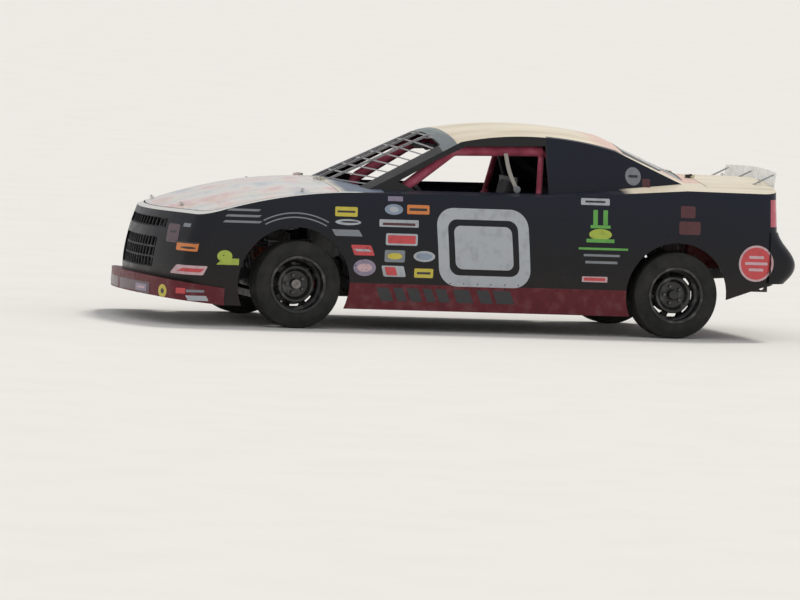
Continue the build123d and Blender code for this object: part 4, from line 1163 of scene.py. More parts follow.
def make_fasteners(settings):
    """Rivets along the seams, the rocker and the arches, and the pins of both lids."""
    for way, _ in SIDES:
        nodes = SIDE_NODES[way]
        spots = []
        rows = [((x, foot), (x, top), gap) for x, foot, top, gap in SEAM_ROWS]
        rows += [((front, z), (rear, z), gap) for front, rear, z, gap in LONG_ROWS]
        for start, end, gap in rows:
            start, end = Vector(start), Vector(end)
            count = max(2, round((end - start).length / gap) + 1)
            spots += [face_at(nodes, way, *start.lerp(end, number / (count - 1))) for number in range(count)]
        for axle_x in (FRONT_AXLE, REAR_AXLE):
            spots += arch_spots(way, nodes, axle_x, settings.arch_row)
        spots = [spot for spot in spots if spot]
        scatter(way + "_rivets", spots, RIVET_HEAD, 10, CHASSIS, "black")
    pins = [(lid, x, side * y) for lid, x, y in LID_PINS for _, side in SIDES]
    for number, (lid, x, y) in enumerate(pins):
        spot, out = face_at(lid, "top", x, y)
        shape = bmesh.new()
        lathe(shape, PIN_PLATE, frame_at(spot, out))
        bar(shape, spot, spot + out * PIN_HEIGHT, PIN_RADIUS)
        hoop(shape, at(*(spot + out * RING_HEIGHT)) @ spun(90, "X"), RING_RADIUS, RING_WIRE, 20, 6)
        keep("lid_pin_%d" % (number + 1), shape, lid, "bar_steel", "zinc")


# Seat


# The driver sits left of the middle, on a sheet with a back, a base and two sides
DRIVER_Y = 0.42
SEAT_CORNER = Vector((-0.1725, DRIVER_Y, 0.3515))
SEAT_BACK = Vector((-0.150, 0, 0.640)).normalized()
SEAT_BASE = Vector((-0.370, 0, -0.060)).normalized()
SEAT_KNEE = Vector((0.2575, DRIVER_Y, 0.3515))
SEAT_INNER_HALF = 0.203
PAD_CORNER = 0.045
CHANNELS, CHANNEL_DEPTH, CHANNEL_WIDTH = (-0.10, -0.05, 0, 0.05, 0.10), 0.005, 0.006
# Pads: name, foot and distance of the middle from it, way up, width, length, sewn channels, thickness
SEAT_PADS = (
    ("back", SEAT_CORNER, 0.300, SEAT_BACK, 0.335, 0.480, CHANNELS, 0.036),
    ("base", SEAT_KNEE, 0.195, SEAT_BASE, 0.335, 0.350, CHANNELS, 0.036),
    ("head", SEAT_CORNER, 0.665, SEAT_BACK, 0.280, 0.170, (), 0.040),
)
SIDE_PAD = (
    (0.065, 0.065), (0.020, 0.040), (-0.095, 0.490), (-0.045, 0.490), (0.045, 0.180), (0.330, 0.130),
    (0.330, 0.075),
)
SIDE_PAD_DROP, SIDE_PAD_THICKNESS = 0.060, 0.022
CLOTH_FRAMES = 20


def swell(piece, place, settings):
    """Fills a closed pad with air by cloth simulation; its back stays on the plane that it rests on."""
    fine = piece.modifiers.new("Fine", "REMESH")
    fine.mode = "VOXEL"
    fine.voxel_size = settings.pad_cell
    mesh = settle(piece)
    rest = [vertex.co.copy() for vertex in mesh.vertices]
    cloth = piece.modifiers.new("Cloth", "CLOTH")
    cloth.settings.use_pressure = True
    cloth.settings.uniform_pressure_force = settings.pad_pressure
    cloth.settings.effector_weights.gravity = 0
    scene = bpy.context.scene
    for number in range(1, CLOTH_FRAMES + 1):
        scene.frame_set(number)
    graph = bpy.context.evaluated_depsgraph_get()
    blown = [vertex.co.copy() for vertex in piece.evaluated_get(graph).data.vertices]
    piece.modifiers.clear()
    scene.frame_set(1)
    back = place.inverted()
    for vertex, start, end in zip(mesh.vertices, rest, blown):
        move = end - start
        if move.length > settings.pad_cap:
            move = move.normalized() * settings.pad_cap
        local = back @ (start + move)
        local.z = max(0.0008, local.z)
        vertex.co = place @ local


def make_pad(name, outline, channels, place, thickness, settings):
    """One seat pad: an outline in a matrix's XY plane, crowned, with sewn channels across its X."""
    shape = bmesh.new()
    plate(shape, [outline], place @ at(0, 0, 0.001), thickness)
    bmesh.ops.recalc_face_normals(shape, faces=shape.faces)
    piece = stand(name, mesh_of(name, shape))
    swell(piece, place, settings)
    piece.modifiers.new("Finer", "SUBSURF").levels = 1
    mesh = settle(piece)
    back = place.inverted()
    for vertex in mesh.vertices:
        local = back @ vertex.co
        if local.z > thickness * 0.6:
            for channel in channels:
                local.z -= CHANNEL_DEPTH * math.exp(-(((local.x - channel) / CHANNEL_WIDTH) ** 2))
            vertex.co = place @ local
    mesh.materials.clear()
    mesh.materials.append(materials["cloth"])
    mounted(piece, CHASSIS, 60)


def make_seat_pads(settings):
    """Back, base, head and side pads that lie on the seat's sheet."""
    for name, foot, rise, along, width, length, channels, thickness in SEAT_PADS:
        place = axes_at(foot + along * rise, LEFTWARD, along)
        outline = rounded(width, length, 0, PAD_CORNER)
        make_pad("seat_%s_pad" % name, outline, channels, place, thickness, settings)
    for way, side in SIDES:
        corner = (SEAT_CORNER.x, DRIVER_Y + side * SEAT_INNER_HALF, SEAT_CORNER.z - SIDE_PAD_DROP)
        outline = [(side * x, z) for x, z in SIDE_PAD]
        place = axes_at(corner, (side, 0, 0), UPWARD)
        make_pad("seat_%s_pad" % way, outline, (), place, SIDE_PAD_THICKNESS, settings)


# Belts


PAD_FACE = 0.052
BELT_THICKNESS, TAPE_CORNER = 0.003, 0.001
# Places on the seat's back: up it, ahead of it and outward
BUCKLE_UP, BUCKLE_AHEAD = 0.100, PAD_FACE + 0.075
SHOULDER_UP, SHOULDER_OUT = 0.560, 0.072
SHOULDER_ROUTE = (
    (0, 0.006, 0),
    (-0.02, PAD_FACE - 0.004, 0),
    (-0.12, PAD_FACE + 0.002, 0),
    (-0.30, PAD_FACE + 0.004, -0.012),
)
SHOULDER_END = ((0.10, -0.010, 0.035), (0.028, 0, 0.016))
ADJUSTER, ADJUSTER_HALF = (0.13, -0.006, 0.045), Vector((0.042, 0.022, 0.004))
# Points of a lap belt from the seat's corner, then from the buckle: ahead, outward, up
LAP_ROUTE = ((0.045, 0.165, 0.045), (0.090, 0.157, 0.100))
LAP_END = ((-0.02, 0.085, -0.012), (0, 0.030, 0))
LAP_UP = (0.3, 0, 1)
CROTCH_BACK, CROTCH_LIFT = 0.17, Vector((0, 0, 0.048))
CROTCH_RISE, CROTCH_END = Vector((-0.02, 0, 0.035)), Vector((0.004, 0, -0.03))
BUCKLE = ((-0.010, 0.0), (-0.010, 0.030), (0.004, 0.034), (0.010, 0.030), (0.012, 0.0))
# A pale strap hangs at the driver's window, with a round latch on the sill
STRAP_TOP, STRAP_FOOT = Vector((-0.235, 0.650, 1.283)), Vector((-0.300, 0.745, 1.030))
STRAP_WIDTH, STRAP_THICKNESS = 0.030, 0.004
STRAP_SAG = Vector((0.012, -0.004, 0))
LATCH_LIFT, LATCH_WAY = Vector((0, 0.004, 0)), (0, 1, 0.15)
LATCH = ((0, 0.0), (0, 0.026), (0.010, 0.026), (0.014, 0.018), (0.014, 0.0))


def make_belts(settings):
    """Webbing of the harness: two shoulder belts, two lap belts, a crotch belt and the round buckle."""
    tape = rounded(settings.belt_width, BELT_THICKNESS, 0, TAPE_CORNER, 2)
    out = SEAT_BACK.cross(Vector((0, -1, 0)))

    def near(point, up, ahead, left=0.0):
        """A point at distances up the seat's back, ahead of it and to the left."""
        return point + SEAT_BACK * up + out * ahead + Vector((0, left, 0))

    buckle = near(SEAT_CORNER, BUCKLE_UP, BUCKLE_AHEAD)
    shape = bmesh.new()
    for _, side in SIDES:
        top = near(SEAT_CORNER, SHOULDER_UP, 0, side * SHOULDER_OUT)
        shoulder = [near(top, up, ahead, side * outward) for up, ahead, outward in SHOULDER_ROUTE]
        shoulder += [near(buckle, up, ahead, side * outward) for up, ahead, outward in SHOULDER_END]
        swept(shape, eased(shoulder), tape)
        lap = [SEAT_CORNER + Vector((ahead, side * outward, up)) for ahead, outward, up in LAP_ROUTE]
        lap += [buckle + Vector((ahead, side * outward, up)) for ahead, outward, up in LAP_END]
        swept(shape, eased(lap), tape, LAP_UP)
        up, ahead, outward = ADJUSTER
        adjuster = axes_at(near(buckle, up, ahead, side * outward), LEFTWARD, SEAT_BACK)
        block(shape, -ADJUSTER_HALF, ADJUSTER_HALF, 0.003, 1, adjuster)
    groin = SEAT_KNEE + SEAT_BASE * CROTCH_BACK + CROTCH_LIFT
    swept(shape, eased((groin, groin + CROTCH_RISE, buckle + CROTCH_END)), tape)
    lathe(shape, BUCKLE, frame_at(buckle, out), 28, 1)
    keep("seat_harness", shape, CHASSIS, "grip_black", "webbing", "dull")

    shape = bmesh.new()
    middle = STRAP_TOP.lerp(STRAP_FOOT, 0.5) + STRAP_SAG
    strap = rounded(STRAP_WIDTH, STRAP_THICKNESS, 0, TAPE_CORNER, 2)
    swept(shape, eased((STRAP_TOP, middle, STRAP_FOOT)), strap, (1, 0, 0))
    lathe(shape, LATCH, frame_at(STRAP_FOOT + LATCH_LIFT, LATCH_WAY), 24, 1)
    keep("window_strap", shape, CHASSIS, "grip_black", "strap", "spring")


# Dash and steering wheel


# Gauges on the dash: Y, Z, radius, turn of the needle in degrees
GAUGES = (
    (0.420, 0.832, 0.044, 120),
    (0.300, 0.845, 0.027, 60),
    (0.300, 0.775, 0.027, 30),
    (0.540, 0.845, 0.027, -20),
    (0.540, 0.775, 0.027, 80),
)
GAUGE_RIM, DIAL_INSET = 0.004, 0.003
GAUGE_TICKS, FIRST_TICK, TICK_STEP = 11, 225, 27
# Marks on a dial as shares of its radius
LONG_TICK, SHORT_TICK, TICK_END, NEEDLE_TAIL, NEEDLE_TIP = 0.68, 0.77, 0.9, 0.2, 0.74
TICK_HALF, TICK_LOW, TICK_HIGH = 0.0009, 0.008, 0.0088
NEEDLE_HALF, NEEDLE_LOW, NEEDLE_HIGH = 0.0014, 0.0095, 0.0105
NEEDLE_CAP = ((0.008, 0.0), (0.008, 0.005), (0.0115, 0.004), (0.0118, 0.0))
TOGGLES, TOGGLE_GAP, TOGGLE_TILT = 5, 0.040, 22
TOGGLE_BASE = ((0, 0.0), (0, 0.0085), (0.004, 0.0085), (0.006, 0.005), (0.010, 0.005), (0.010, 0.0))
TOGGLE_LEVER = ((0.004, 0.0), (0.004, 0.0018), (0.022, 0.0030), (0.024, 0.0))
LAMP = ((0, 0.0), (0, 0.004), (0.003, 0.0035), (0.004, 0.0))
SWITCH_PLACE, SWITCH_PANEL = (0.120, 0.805), (0.230, 0.095)
PANEL_CORNER, PANEL_THICKNESS, TOGGLE_Y, LAMP_Y = 0.008, 0.003, -0.012, 0.026
HUB_PAD = ((-0.001, 0.0), (-0.001, 0.036), (0.012, 0.034), (0.018, 0.026), (0.020, 0.0))
HORN_BUTTON = ((0.019, 0.0), (0.019, 0.010), (0.022, 0.009), (0.023, 0.0))
HUB_BOLT = ((0, 0), (0, 0.004), (0.004, 0.004), (0.004, 0))
HUB_BOLTS, HUB_BOLT_CIRCLE, HUB_BOLT_LIFT, HUB_LIFT = 6, 0.030, 0.013, 0.020


def make_dash_kit():
    """Round gauges with ticks and needles, a switch panel and a hub pad on the steering wheel."""
    face_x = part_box("dash")[0].x
    shape = bmesh.new()
    for y, z, radius, turn in GAUGES:
        place = frame_at((face_x, y, z), (-1, 0, 0))
        rim = radius + GAUGE_RIM
        cup = ((-0.004, 0.0), (-0.004, rim), (0.012, rim), (0.015, radius))
        lathe(shape, cup + ((TICK_LOW, radius - DIAL_INSET), (TICK_LOW, 0.0)), place, 36)
        for number in range(GAUGE_TICKS):
            start = (LONG_TICK if number % 5 == 0 else SHORT_TICK) * radius
            tick = place @ spun(FIRST_TICK - TICK_STEP * number)
            block(shape, (start, -TICK_HALF, TICK_LOW), (TICK_END * radius, TICK_HALF, TICK_HIGH), 0, 1, tick)
        low = (-NEEDLE_TAIL * radius, -NEEDLE_HALF, NEEDLE_LOW)
        high = (NEEDLE_TIP * radius, NEEDLE_HALF, NEEDLE_HIGH)
        block(shape, low, high, 0, 2, place @ spun(turn))
        lathe(shape, NEEDLE_CAP, place, 14)
    keep("dash_gauges", shape, CHASSIS, "sheet_black", "dial", "mark", "orange")

    shape = bmesh.new()
    panel = frame_at((face_x, *SWITCH_PLACE), (-1, 0, 0))
    plate(shape, [rounded(*SWITCH_PANEL, 0, PANEL_CORNER, 3)], panel, PANEL_THICKNESS)
    for number in range(TOGGLES):
        x = (number - (TOGGLES - 1) / 2) * TOGGLE_GAP
        spot = panel @ at(x, TOGGLE_Y, PANEL_THICKNESS)
        lathe(shape, TOGGLE_BASE, spot, 12, 1)
        lathe(shape, TOGGLE_LEVER, spot @ spun(TOGGLE_TILT if number % 2 else -TOGGLE_TILT, "X"), 10, 1)
        lathe(shape, LAMP, panel @ at(x, LAMP_Y, PANEL_THICKNESS), 12, 2)
    keep("switch_panel", shape, CHASSIS, "seat_aluminium", "alloy", "dull", "orange")

    joints = frame["record"]["behaviour"]["joints"]
    joint = next(item for item in joints if item["name"] == "steering_wheel_turn")
    axis = Vector(joint["axis"]).normalized()
    hub_face = frame_at(node_middle("steering_wheel") + axis * HUB_LIFT, axis)
    shape = bmesh.new()
    lathe(shape, HUB_PAD, hub_face, 32)
    lathe(shape, HORN_BUTTON, hub_face, 20, 1)
    keep("steering_hub_pad", shape, "steering_wheel", "grip_black", "grip", "bottle")
    spots = [(point, axis) for point in circle(hub_face, HUB_BOLT_CIRCLE, HUB_BOLT_LIFT, HUB_BOLTS)]
    scatter("steering_hub_bolts", spots, HUB_BOLT, 6, "steering_wheel", "zinc")


# Cabin


MIRROR = Vector((0.068, 0.0, 1.250))
MIRROR_BODY, MIRROR_GLASS = Vector((0.010, 0.21, 0.032)), Vector((0.0115, 0.20, 0.026))
MIRROR_EDGE, GLASS_BACK = 0.009, 0.009
# The mirror's two arms run from its body to clamps on the cage
MIRROR_ARM_Y, MIRROR_ARM_RADIUS = 0.14, 0.006
ARM_START, ARM_END = (0.008, 0.02), (0.118, 1.272)
CAGE_CLAMP, CAGE_CLAMP_RADIUS, CAGE_CLAMP_WIRE = (0.1325, 1.288), 0.026, 0.005
LEVER_FOOT = Vector((0.200, 0.055, 0.485))
LEVER_BOOT = ((0, 0.0), (0, 0.062), (0.006, 0.062), (0.050, 0.030), (0.090, 0.017), (0.094, 0.0))
# Points of the shift lever above its foot
LEVER_ROUTE = ((0, 0, 0.06), (-0.02, 0.01, 0.16), (-0.03, 0.03, 0.27))
LEVER_TUBE, BALL_PLACE = (0.016, 0.016, 10), (-0.03, 0.03, 0.258)
LEVER_BALL = (
    (0.0, 0.0), (0.004, 0.012), (0.012, 0.021), (0.023, 0.025), (0.035, 0.021), (0.043, 0.012), (0.046, 0.0)
)
PIVOT_X, PIVOT_Z, TREAD_X, TREAD_Z = 0.745, 0.690, 0.665, 0.380
# Pedals: Y and half width of the tread
PEDALS = ((0.315, 0.026), (0.500, 0.040), (0.585, 0.026))
PIVOT_RIGHT, PIVOT_LEFT, PIVOT_RADIUS = 0.250, 0.610, 0.010
BRACKETS, BRACKET_BACK, BRACKET_FRONT = (0.260, 0.600), PIVOT_X - 0.02, 0.7975
BRACKET_HALF_WIDTH, BRACKET_HALF_HEIGHT = 0.004, 0.03
PEDAL_ARM, ARM_KNEE_Z = (0.012, 0.024, 0, 0.003, 2), 0.560
TREAD_HALF_LENGTH, TREAD_HALF_THICKNESS, TREAD_RISE = 0.050, 0.005, (-0.35, 0, 0.94)
TREAD_RIBS, RIB_GAP, RIB_HALF, RIB_INSET = 5, 0.018, 0.003, 0.004
RIB_FACE, RIB_BACK = -0.008, -0.004
BOTTLE_PLACE = (-0.720, -0.420, 0.302)
BOTTLE = (
    (-0.16, 0.0), (-0.16, 0.045), (-0.145, 0.060), (0.13, 0.060), (0.155, 0.048), (0.165, 0.022),
    (0.180, 0.022), (0.182, 0.0),
)
BOTTLE_VALVE = ((0.180, 0.0), (0.180, 0.016), (0.205, 0.016), (0.208, 0.0))
BOTTLE_CLAMPS, BOTTLE_BAND, BAND_WIRE = (-0.09, 0.08), 0.061, 0.003
# The clamp's foot: half its length and width, its underside and its top
FOOT_HALF, FOOT_BOTTOM, FOOT_TOP = (0.05, 0.012), 0.2315, 0.246


def make_cabin_kit():
    """Mirror, shift lever, pedals and fire bottle."""
    shape = bmesh.new()
    block(shape, MIRROR - MIRROR_BODY, MIRROR + MIRROR_BODY, MIRROR_EDGE)
    glass_x = MIRROR.x - GLASS_BACK
    block(shape, MIRROR - MIRROR_GLASS, (glass_x, MIRROR_GLASS.y, MIRROR.z + MIRROR_GLASS.z), 0, 1)
    for y in (-MIRROR_ARM_Y, MIRROR_ARM_Y):
        start = MIRROR + Vector((ARM_START[0], y, ARM_START[1]))
        bar(shape, start, (ARM_END[0], y, ARM_END[1]), MIRROR_ARM_RADIUS)
        clamp = at(CAGE_CLAMP[0], y, CAGE_CLAMP[1]) @ spun(90, "X")
        hoop(shape, clamp, CAGE_CLAMP_RADIUS, CAGE_CLAMP_WIRE, 24, 8)
    keep("cabin_mirror", shape, CHASSIS, "sheet_black", "dial", "glass")

    shape = bmesh.new()
    lathe(shape, LEVER_BOOT, at(*LEVER_FOOT), 28)
    route = eased([LEVER_FOOT + Vector(point) for point in LEVER_ROUTE])
    swept(shape, route, oval(*LEVER_TUBE), (1, 0, 0), 1)
    lathe(shape, LEVER_BALL, at(*LEVER_FOOT) @ at(*BALL_PLACE))
    keep("shift_lever", shape, CHASSIS, "grip_black", "grip", "zinc")

    shape = bmesh.new()
    bar(shape, (PIVOT_X, PIVOT_RIGHT, PIVOT_Z), (PIVOT_X, PIVOT_LEFT, PIVOT_Z), PIVOT_RADIUS)
    for y in BRACKETS:
        low = (BRACKET_BACK, y - BRACKET_HALF_WIDTH, PIVOT_Z - BRACKET_HALF_HEIGHT)
        high = (BRACKET_FRONT, y + BRACKET_HALF_WIDTH, PIVOT_Z + BRACKET_HALF_HEIGHT)
        block(shape, low, high, 0.002)
    for y, half in PEDALS:
        route = ((PIVOT_X, y, PIVOT_Z), (PIVOT_X - 0.005, y, ARM_KNEE_Z), (TREAD_X + 0.010, y, TREAD_Z))
        swept(shape, eased(route), rounded(*PEDAL_ARM))
        tread = axes_at((TREAD_X, y, TREAD_Z), LEFTWARD, TREAD_RISE)
        high = Vector((half, TREAD_HALF_LENGTH, TREAD_HALF_THICKNESS))
        block(shape, -high, high, 0.003, 1, tread)
        for number in range(TREAD_RIBS):
            rib = RIB_GAP * (number - (TREAD_RIBS - 1) / 2)
            inner = half - RIB_INSET
            block(shape, (-inner, rib - RIB_HALF, RIB_FACE), (inner, rib + RIB_HALF, RIB_BACK), 0, 1, tread)
    keep("pedals", shape, CHASSIS, "frame_black", "frame", "alloy")

    shape = bmesh.new()
    lying = at(*BOTTLE_PLACE) @ spun(90, "X")
    lathe(shape, BOTTLE, lying, 36)
    lathe(shape, BOTTLE_VALVE, lying, 16, 1)
    for along in BOTTLE_CLAMPS:
        hoop(shape, lying @ at(0, 0, along), BOTTLE_BAND, BAND_WIRE, 36, 6, 1)
        x, y, _ = lying @ Vector((0, 0, along))
        length, width = FOOT_HALF
        block(shape, (x - length, y - width, FOOT_BOTTOM), (x + length, y + width, FOOT_TOP), 0.003, 1)
    keep("fire_bottle", shape, CHASSIS, "cell_red", "bottle", "dull")


# Engine


CRANK_HEIGHT, BANK_LEAN = 0.300, 45
CYLINDER_XS = (1.105, 1.215, 1.325, 1.435)
HEADER_Y, COLLECTOR_Z = 0.222, 0.258
DISTRIBUTOR_X, PULLEY_X, BELT_X = 1.050, 1.548, 1.561
ENGINE_FINISHES = ("engine", "frame", "orange", "dull", "iron", "alloy")
# Rounded blocks: low corner, high corner, edge radius, number of the finish
ENGINE_BLOCKS = (
    ((1.060, -0.120, 0.222), (1.300, 0.120, 0.300), 0.018, 1),  # Deep end of the pan
    ((1.290, -0.120, 0.250), (1.505, 0.120, 0.300), 0.012, 1),  # Shallow end of the pan
    ((1.020, -0.130, 0.296), (1.530, 0.130, 0.420), 0.014, 0),  # Crankcase
    ((0.990, -0.150, 0.240), (1.022, 0.150, 0.520), 0.03, 0),  # Clutch housing's flange
    ((1.090, -0.085, 0.420), (1.460, 0.085, 0.545), 0.020, 5),  # Valley and intake
    ((1.215, -0.060, 0.560), (1.345, 0.060, 0.580), 0.004, 5),  # Carburettor's foot
    ((1.205, -0.045, 0.580), (1.355, 0.045, 0.650), 0.012, 3),  # Carburettor
    ((1.174, -0.040, 0.590), (1.206, 0.040, 0.635), 0.006, 3),  # Its rear bowl
    ((1.354, -0.040, 0.590), (1.386, 0.040, 0.635), 0.006, 3),  # Its front bowl
    ((1.530, -0.110, 0.290), (1.552, 0.110, 0.440), 0.02, 5),  # Front cover
)
# The same for one bank, in its own frame: cylinders, head and valve cover
BANK_BLOCKS = (
    ((1.030, -0.062, 0.060), (1.520, 0.062, 0.200), 0.008, 0),
    ((1.040, -0.068, 0.201), (1.510, 0.068, 0.246), 0.008, 0),
    ((1.050, -0.050, 0.247), (1.500, 0.050, 0.290), 0.012, 2),
)
COVER_FINS = 17
FILLER_CAP = ((0.288, 0.0), (0.288, 0.019), (0.304, 0.019), (0.306, 0.0))
DISTRIBUTOR = (
    (0.440, 0.0), (0.440, 0.030), (0.500, 0.030), (0.505, 0.055), (0.560, 0.052), (0.575, 0.036), (0.575, 0.0)
)
ALTERNATOR = ((-0.110, 0.0), (-0.110, 0.052), (-0.016, 0.056), (-0.012, 0.0))
# Belt wheels of crank, fan and alternator: Y, Z, radius
BELT_WHEELS = ((0.0, 0.320, 0.074), (0.0, 0.485, 0.058), (-0.165, 0.520, 0.032))
# Air cleaner: outline, steps, number of the finish
AIR_CLEANER = (
    (((0.650, 0.0), (0.650, 0.060), (0.668, 0.165), (0.672, 0.170), (0.680, 0.170), (0.680, 0.150)), 64, 0),
    (((0.679, 0.146), (0.679, 0.158), (0.742, 0.158), (0.742, 0.146)), 96, 1),
    (((0.741, 0.160), (0.741, 0.170), (0.748, 0.172), (0.756, 0.160), (0.764, 0.060), (0.762, 0.0)), 64, 0),
    (((0.762, 0.0), (0.762, 0.011), (0.768, 0.011), (0.768, 0.005), (0.784, 0.005), (0.784, 0.0)), 12, 0),
)
AIR_CLEANER_X = 1.280


def belt_hull(gap):
    """The loop of the belt round its wheels."""
    points = []
    for y, z, radius in BELT_WHEELS:
        away = radius + gap
        points += [(y + away * math.cos(a), z + away * math.sin(a)) for a in turns(28)]
    return [points[number] for number in geometry.convex_hull_2d(points)]


def add_bank(shape, side):
    """One cylinder bank with its cover, headers and collector; its Z runs up along the cylinders."""
    bank = at(0, 0, CRANK_HEIGHT) @ spun(-BANK_LEAN * side, "X")
    for low, high, edge, finish in BANK_BLOCKS:
        block(shape, low, high, edge, finish, bank)
    for number in range(COVER_FINS):
        x = 1.075 + 0.025 * number
        block(shape, (x - 0.003, -0.036, 0.288), (x + 0.003, 0.036, 0.296), 0.001, 2, bank)
    lathe(shape, FILLER_CAP, bank @ at(1.475 if side > 0 else 1.065, 0, 0), 20, 3)
    for x in CYLINDER_XS:
        port = bank @ Vector((x, 0.066 * side, 0.222))
        knee, drop = (x - 0.012, side * 0.240, 0.360), (x - 0.050, side * 0.240, 0.290)
        header = eased((port, knee, drop, (x - 0.090, side * 0.225, 0.262)))
        swept(shape, header, oval(0.038, 0.038, 12), (1, 0, 0.3), 4)
        start_x = 1.275 + (x - 1.27) * 0.4
        runner = eased(((start_x, 0, 0.555), (x, side * 0.055, 0.550), (x, side * 0.105, 0.500)))
        swept(shape, runner, oval(0.045, 0.038, 12), (1, 0, 0), 5)
    bar(shape, (1.400, side * HEADER_Y, COLLECTOR_Z), (0.992, side * HEADER_Y, COLLECTOR_Z), 0.032, 20, 4)


def make_engine():
    """A V8 in the place of the plain block: pan, block, banks, intake, distributor, belt and air cleaner."""
    shape = bmesh.new()
    for low, high, edge, finish in ENGINE_BLOCKS:
        block(shape, low, high, edge, finish)
    for _, side in SIDES:
        add_bank(shape, side)
    lathe(shape, DISTRIBUTOR, at(DISTRIBUTOR_X, 0, 0), 28, 1)
    for tower in circle(at(DISTRIBUTOR_X, 0, 0), 0.038, 0.560, 8):
        bar(shape, tower, tower + Vector((0, 0, 0.028)), 0.0075, 10, 1)
    for y, z, radius in BELT_WHEELS:
        rim = ((0, 0.0), (0, radius), (0.010, radius + 0.004), (0.012, radius), (0.022, radius))
        dish = ((0.024, radius + 0.004), (0.030, radius), (0.022, radius * 0.7), (0.022, 0.0))
        lathe(shape, rim + dish, frame_at((PULLEY_X, y, z), (1, 0, 0)), 36, 3)
    y, z, _ = BELT_WHEELS[2]
    lathe(shape, ALTERNATOR, frame_at((PULLEY_X, y, z), (1, 0, 0)), 28, 5)
    plate(shape, [belt_hull(0.006), belt_hull(0.001)], axes_at((BELT_X, 0, 0), LEFTWARD, UPWARD), 0.009, 1)
    piece = keep("race_engine", shape, CHASSIS, "engine_grey", *ENGINE_FINISHES)
    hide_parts("engine_block")

    shape = bmesh.new()
    for outline, steps, finish in AIR_CLEANER:
        lathe(shape, outline, at(AIR_CLEANER_X, 0, 0), steps, finish)
    keep("air_cleaner", shape, CHASSIS, "engine_grey", "alloy", "strap")


# Cooling


FAN_HEIGHT, FAN_BLADES, BLADE_TILT = 0.550, 9, 28
SHROUD_SIZE, FAN_OPENING = (0.560, 0.320), 0.300
SHROUD_RING = ((0.0, 0.150), (0.0, 0.154), (-0.045, 0.154), (-0.045, 0.148), (0.0, 0.148))
FAN_HUB = ((-0.012, 0.0), (-0.012, 0.036), (-0.035, 0.036), (-0.035, 0.050), (-0.050, 0.050), (-0.050, 0.0))
PIPE_SIZE, CLAMP_WIRE = 0.040, 0.0025
# Coolant pipes: Y and Z at the radiator, then points towards the engine
UPPER_PIPE = (
    (0.250, 0.680), (1.860, 0.240, 0.685), (1.700, 0.090, 0.600), (1.545, 0.045, 0.560), (1.460, 0.030, 0.545)
)
LOWER_PIPE = ((-0.260, 0.430), (1.860, -0.250, 0.425), (1.680, -0.130, 0.400), (1.551, -0.100, 0.390))
RADIATOR_CAP = ((-0.001, 0.0), (-0.001, 0.020), (0.010, 0.020), (0.012, 0.028), (0.020, 0.028), (0.024, 0.0))


def make_cooling():
    """Shroud and fan behind the radiator, and the coolant pipes with its cap."""
    low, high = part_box("radiator")
    facing = axes_at((low.x - 0.002, 0, FAN_HEIGHT), LEFTWARD, UPWARD)
    shape = bmesh.new()
    outlines = [rounded(*SHROUD_SIZE, 0, 0.02), oval(FAN_OPENING, FAN_OPENING, 48)]
    plate(shape, outlines, facing @ at(0, 0, -0.006), 0.006)
    lathe(shape, SHROUD_RING, facing, 64)
    for turn in (45, 135):
        block(shape, (-0.150, -0.008, -0.044), (0.150, 0.008, -0.036), 0.002, 0, facing @ spun(turn))
    lathe(shape, FAN_HUB, facing, 28)
    tilted = at(0, 0, -0.024) @ spun(BLADE_TILT, "X") @ at(0, 0, 0.0265)
    for turn in turns(FAN_BLADES):
        blade = facing @ spun(math.degrees(turn)) @ tilted
        block(shape, (0.030, -0.020, -0.028), (0.140, 0.020, -0.025), 0.001, 1, blade)
    keep("radiator_fan", shape, CHASSIS, "grille_black", "grille", "frame")

    shape = bmesh.new()
    for start, *points in (UPPER_PIPE, LOWER_PIPE):
        line = eased([(low.x, *start), *points])
        swept(shape, line, oval(PIPE_SIZE, PIPE_SIZE, 16), UPWARD)
        for place, other in ((line[1], line[2]), (line[-2], line[-3])):
            ring = frame_at(place, other - place, LEFTWARD)
            hoop(shape, ring, PIPE_SIZE / 2 + 0.001, CLAMP_WIRE, 24, 6, 1)
    lathe(shape, RADIATOR_CAP, at(low.x + 0.040, 0.315, high.z), 24, 1)
    keep("coolant_pipes", shape, CHASSIS, "grip_black", "grip", "zinc")


# Chassis details


# Caliper: inner and outer radius about the axle, near and far side across the car
CALIPER = ((0.098, 0.155, 0.715, 0.7315), (0.098, 0.155, 0.7445, 0.762), (0.1505, 0.155, 0.7315, 0.7445))
CALIPER_START, CALIPER_END, CALIPER_STEPS = 150, 205, 8
PISTON_TURNS, PISTON_CIRCLE = (163, 192), 0.127
PISTON = ((-0.002, 0.0), (-0.002, 0.019), (0.004, 0.018), (0.006, 0.0))
SPRING_Y, SPRING_RADIUS, SPRING_WIRE, SPRING_ROUNDS = 0.5, 0.037, 0.0075, 3.4
CELL_STRAPS, CELL_STRAP_WIDTH = (-0.20, 0.20), 0.044
CELL_CAP = ((-0.001, 0.0), (-0.001, 0.085), (0.005, 0.085), (0.005, 0.040), (0.020, 0.038), (0.024, 0.0))
CELL_CAP_X, CAP_BOLTS, CAP_BOLT_CIRCLE = -1.900, 12, 0.074
CAP_BOLT = ((0, 0), (0, 0.006), (0.004, 0.006), (0.004, 0))


def round_axle(radius, degrees, y):
    """A point about the front axle; the turn goes up from straight ahead."""
    turn = math.radians(degrees)
    return Vector((FRONT_AXLE + radius * math.cos(turn), y, HUB_HEIGHT + radius * math.sin(turn)))


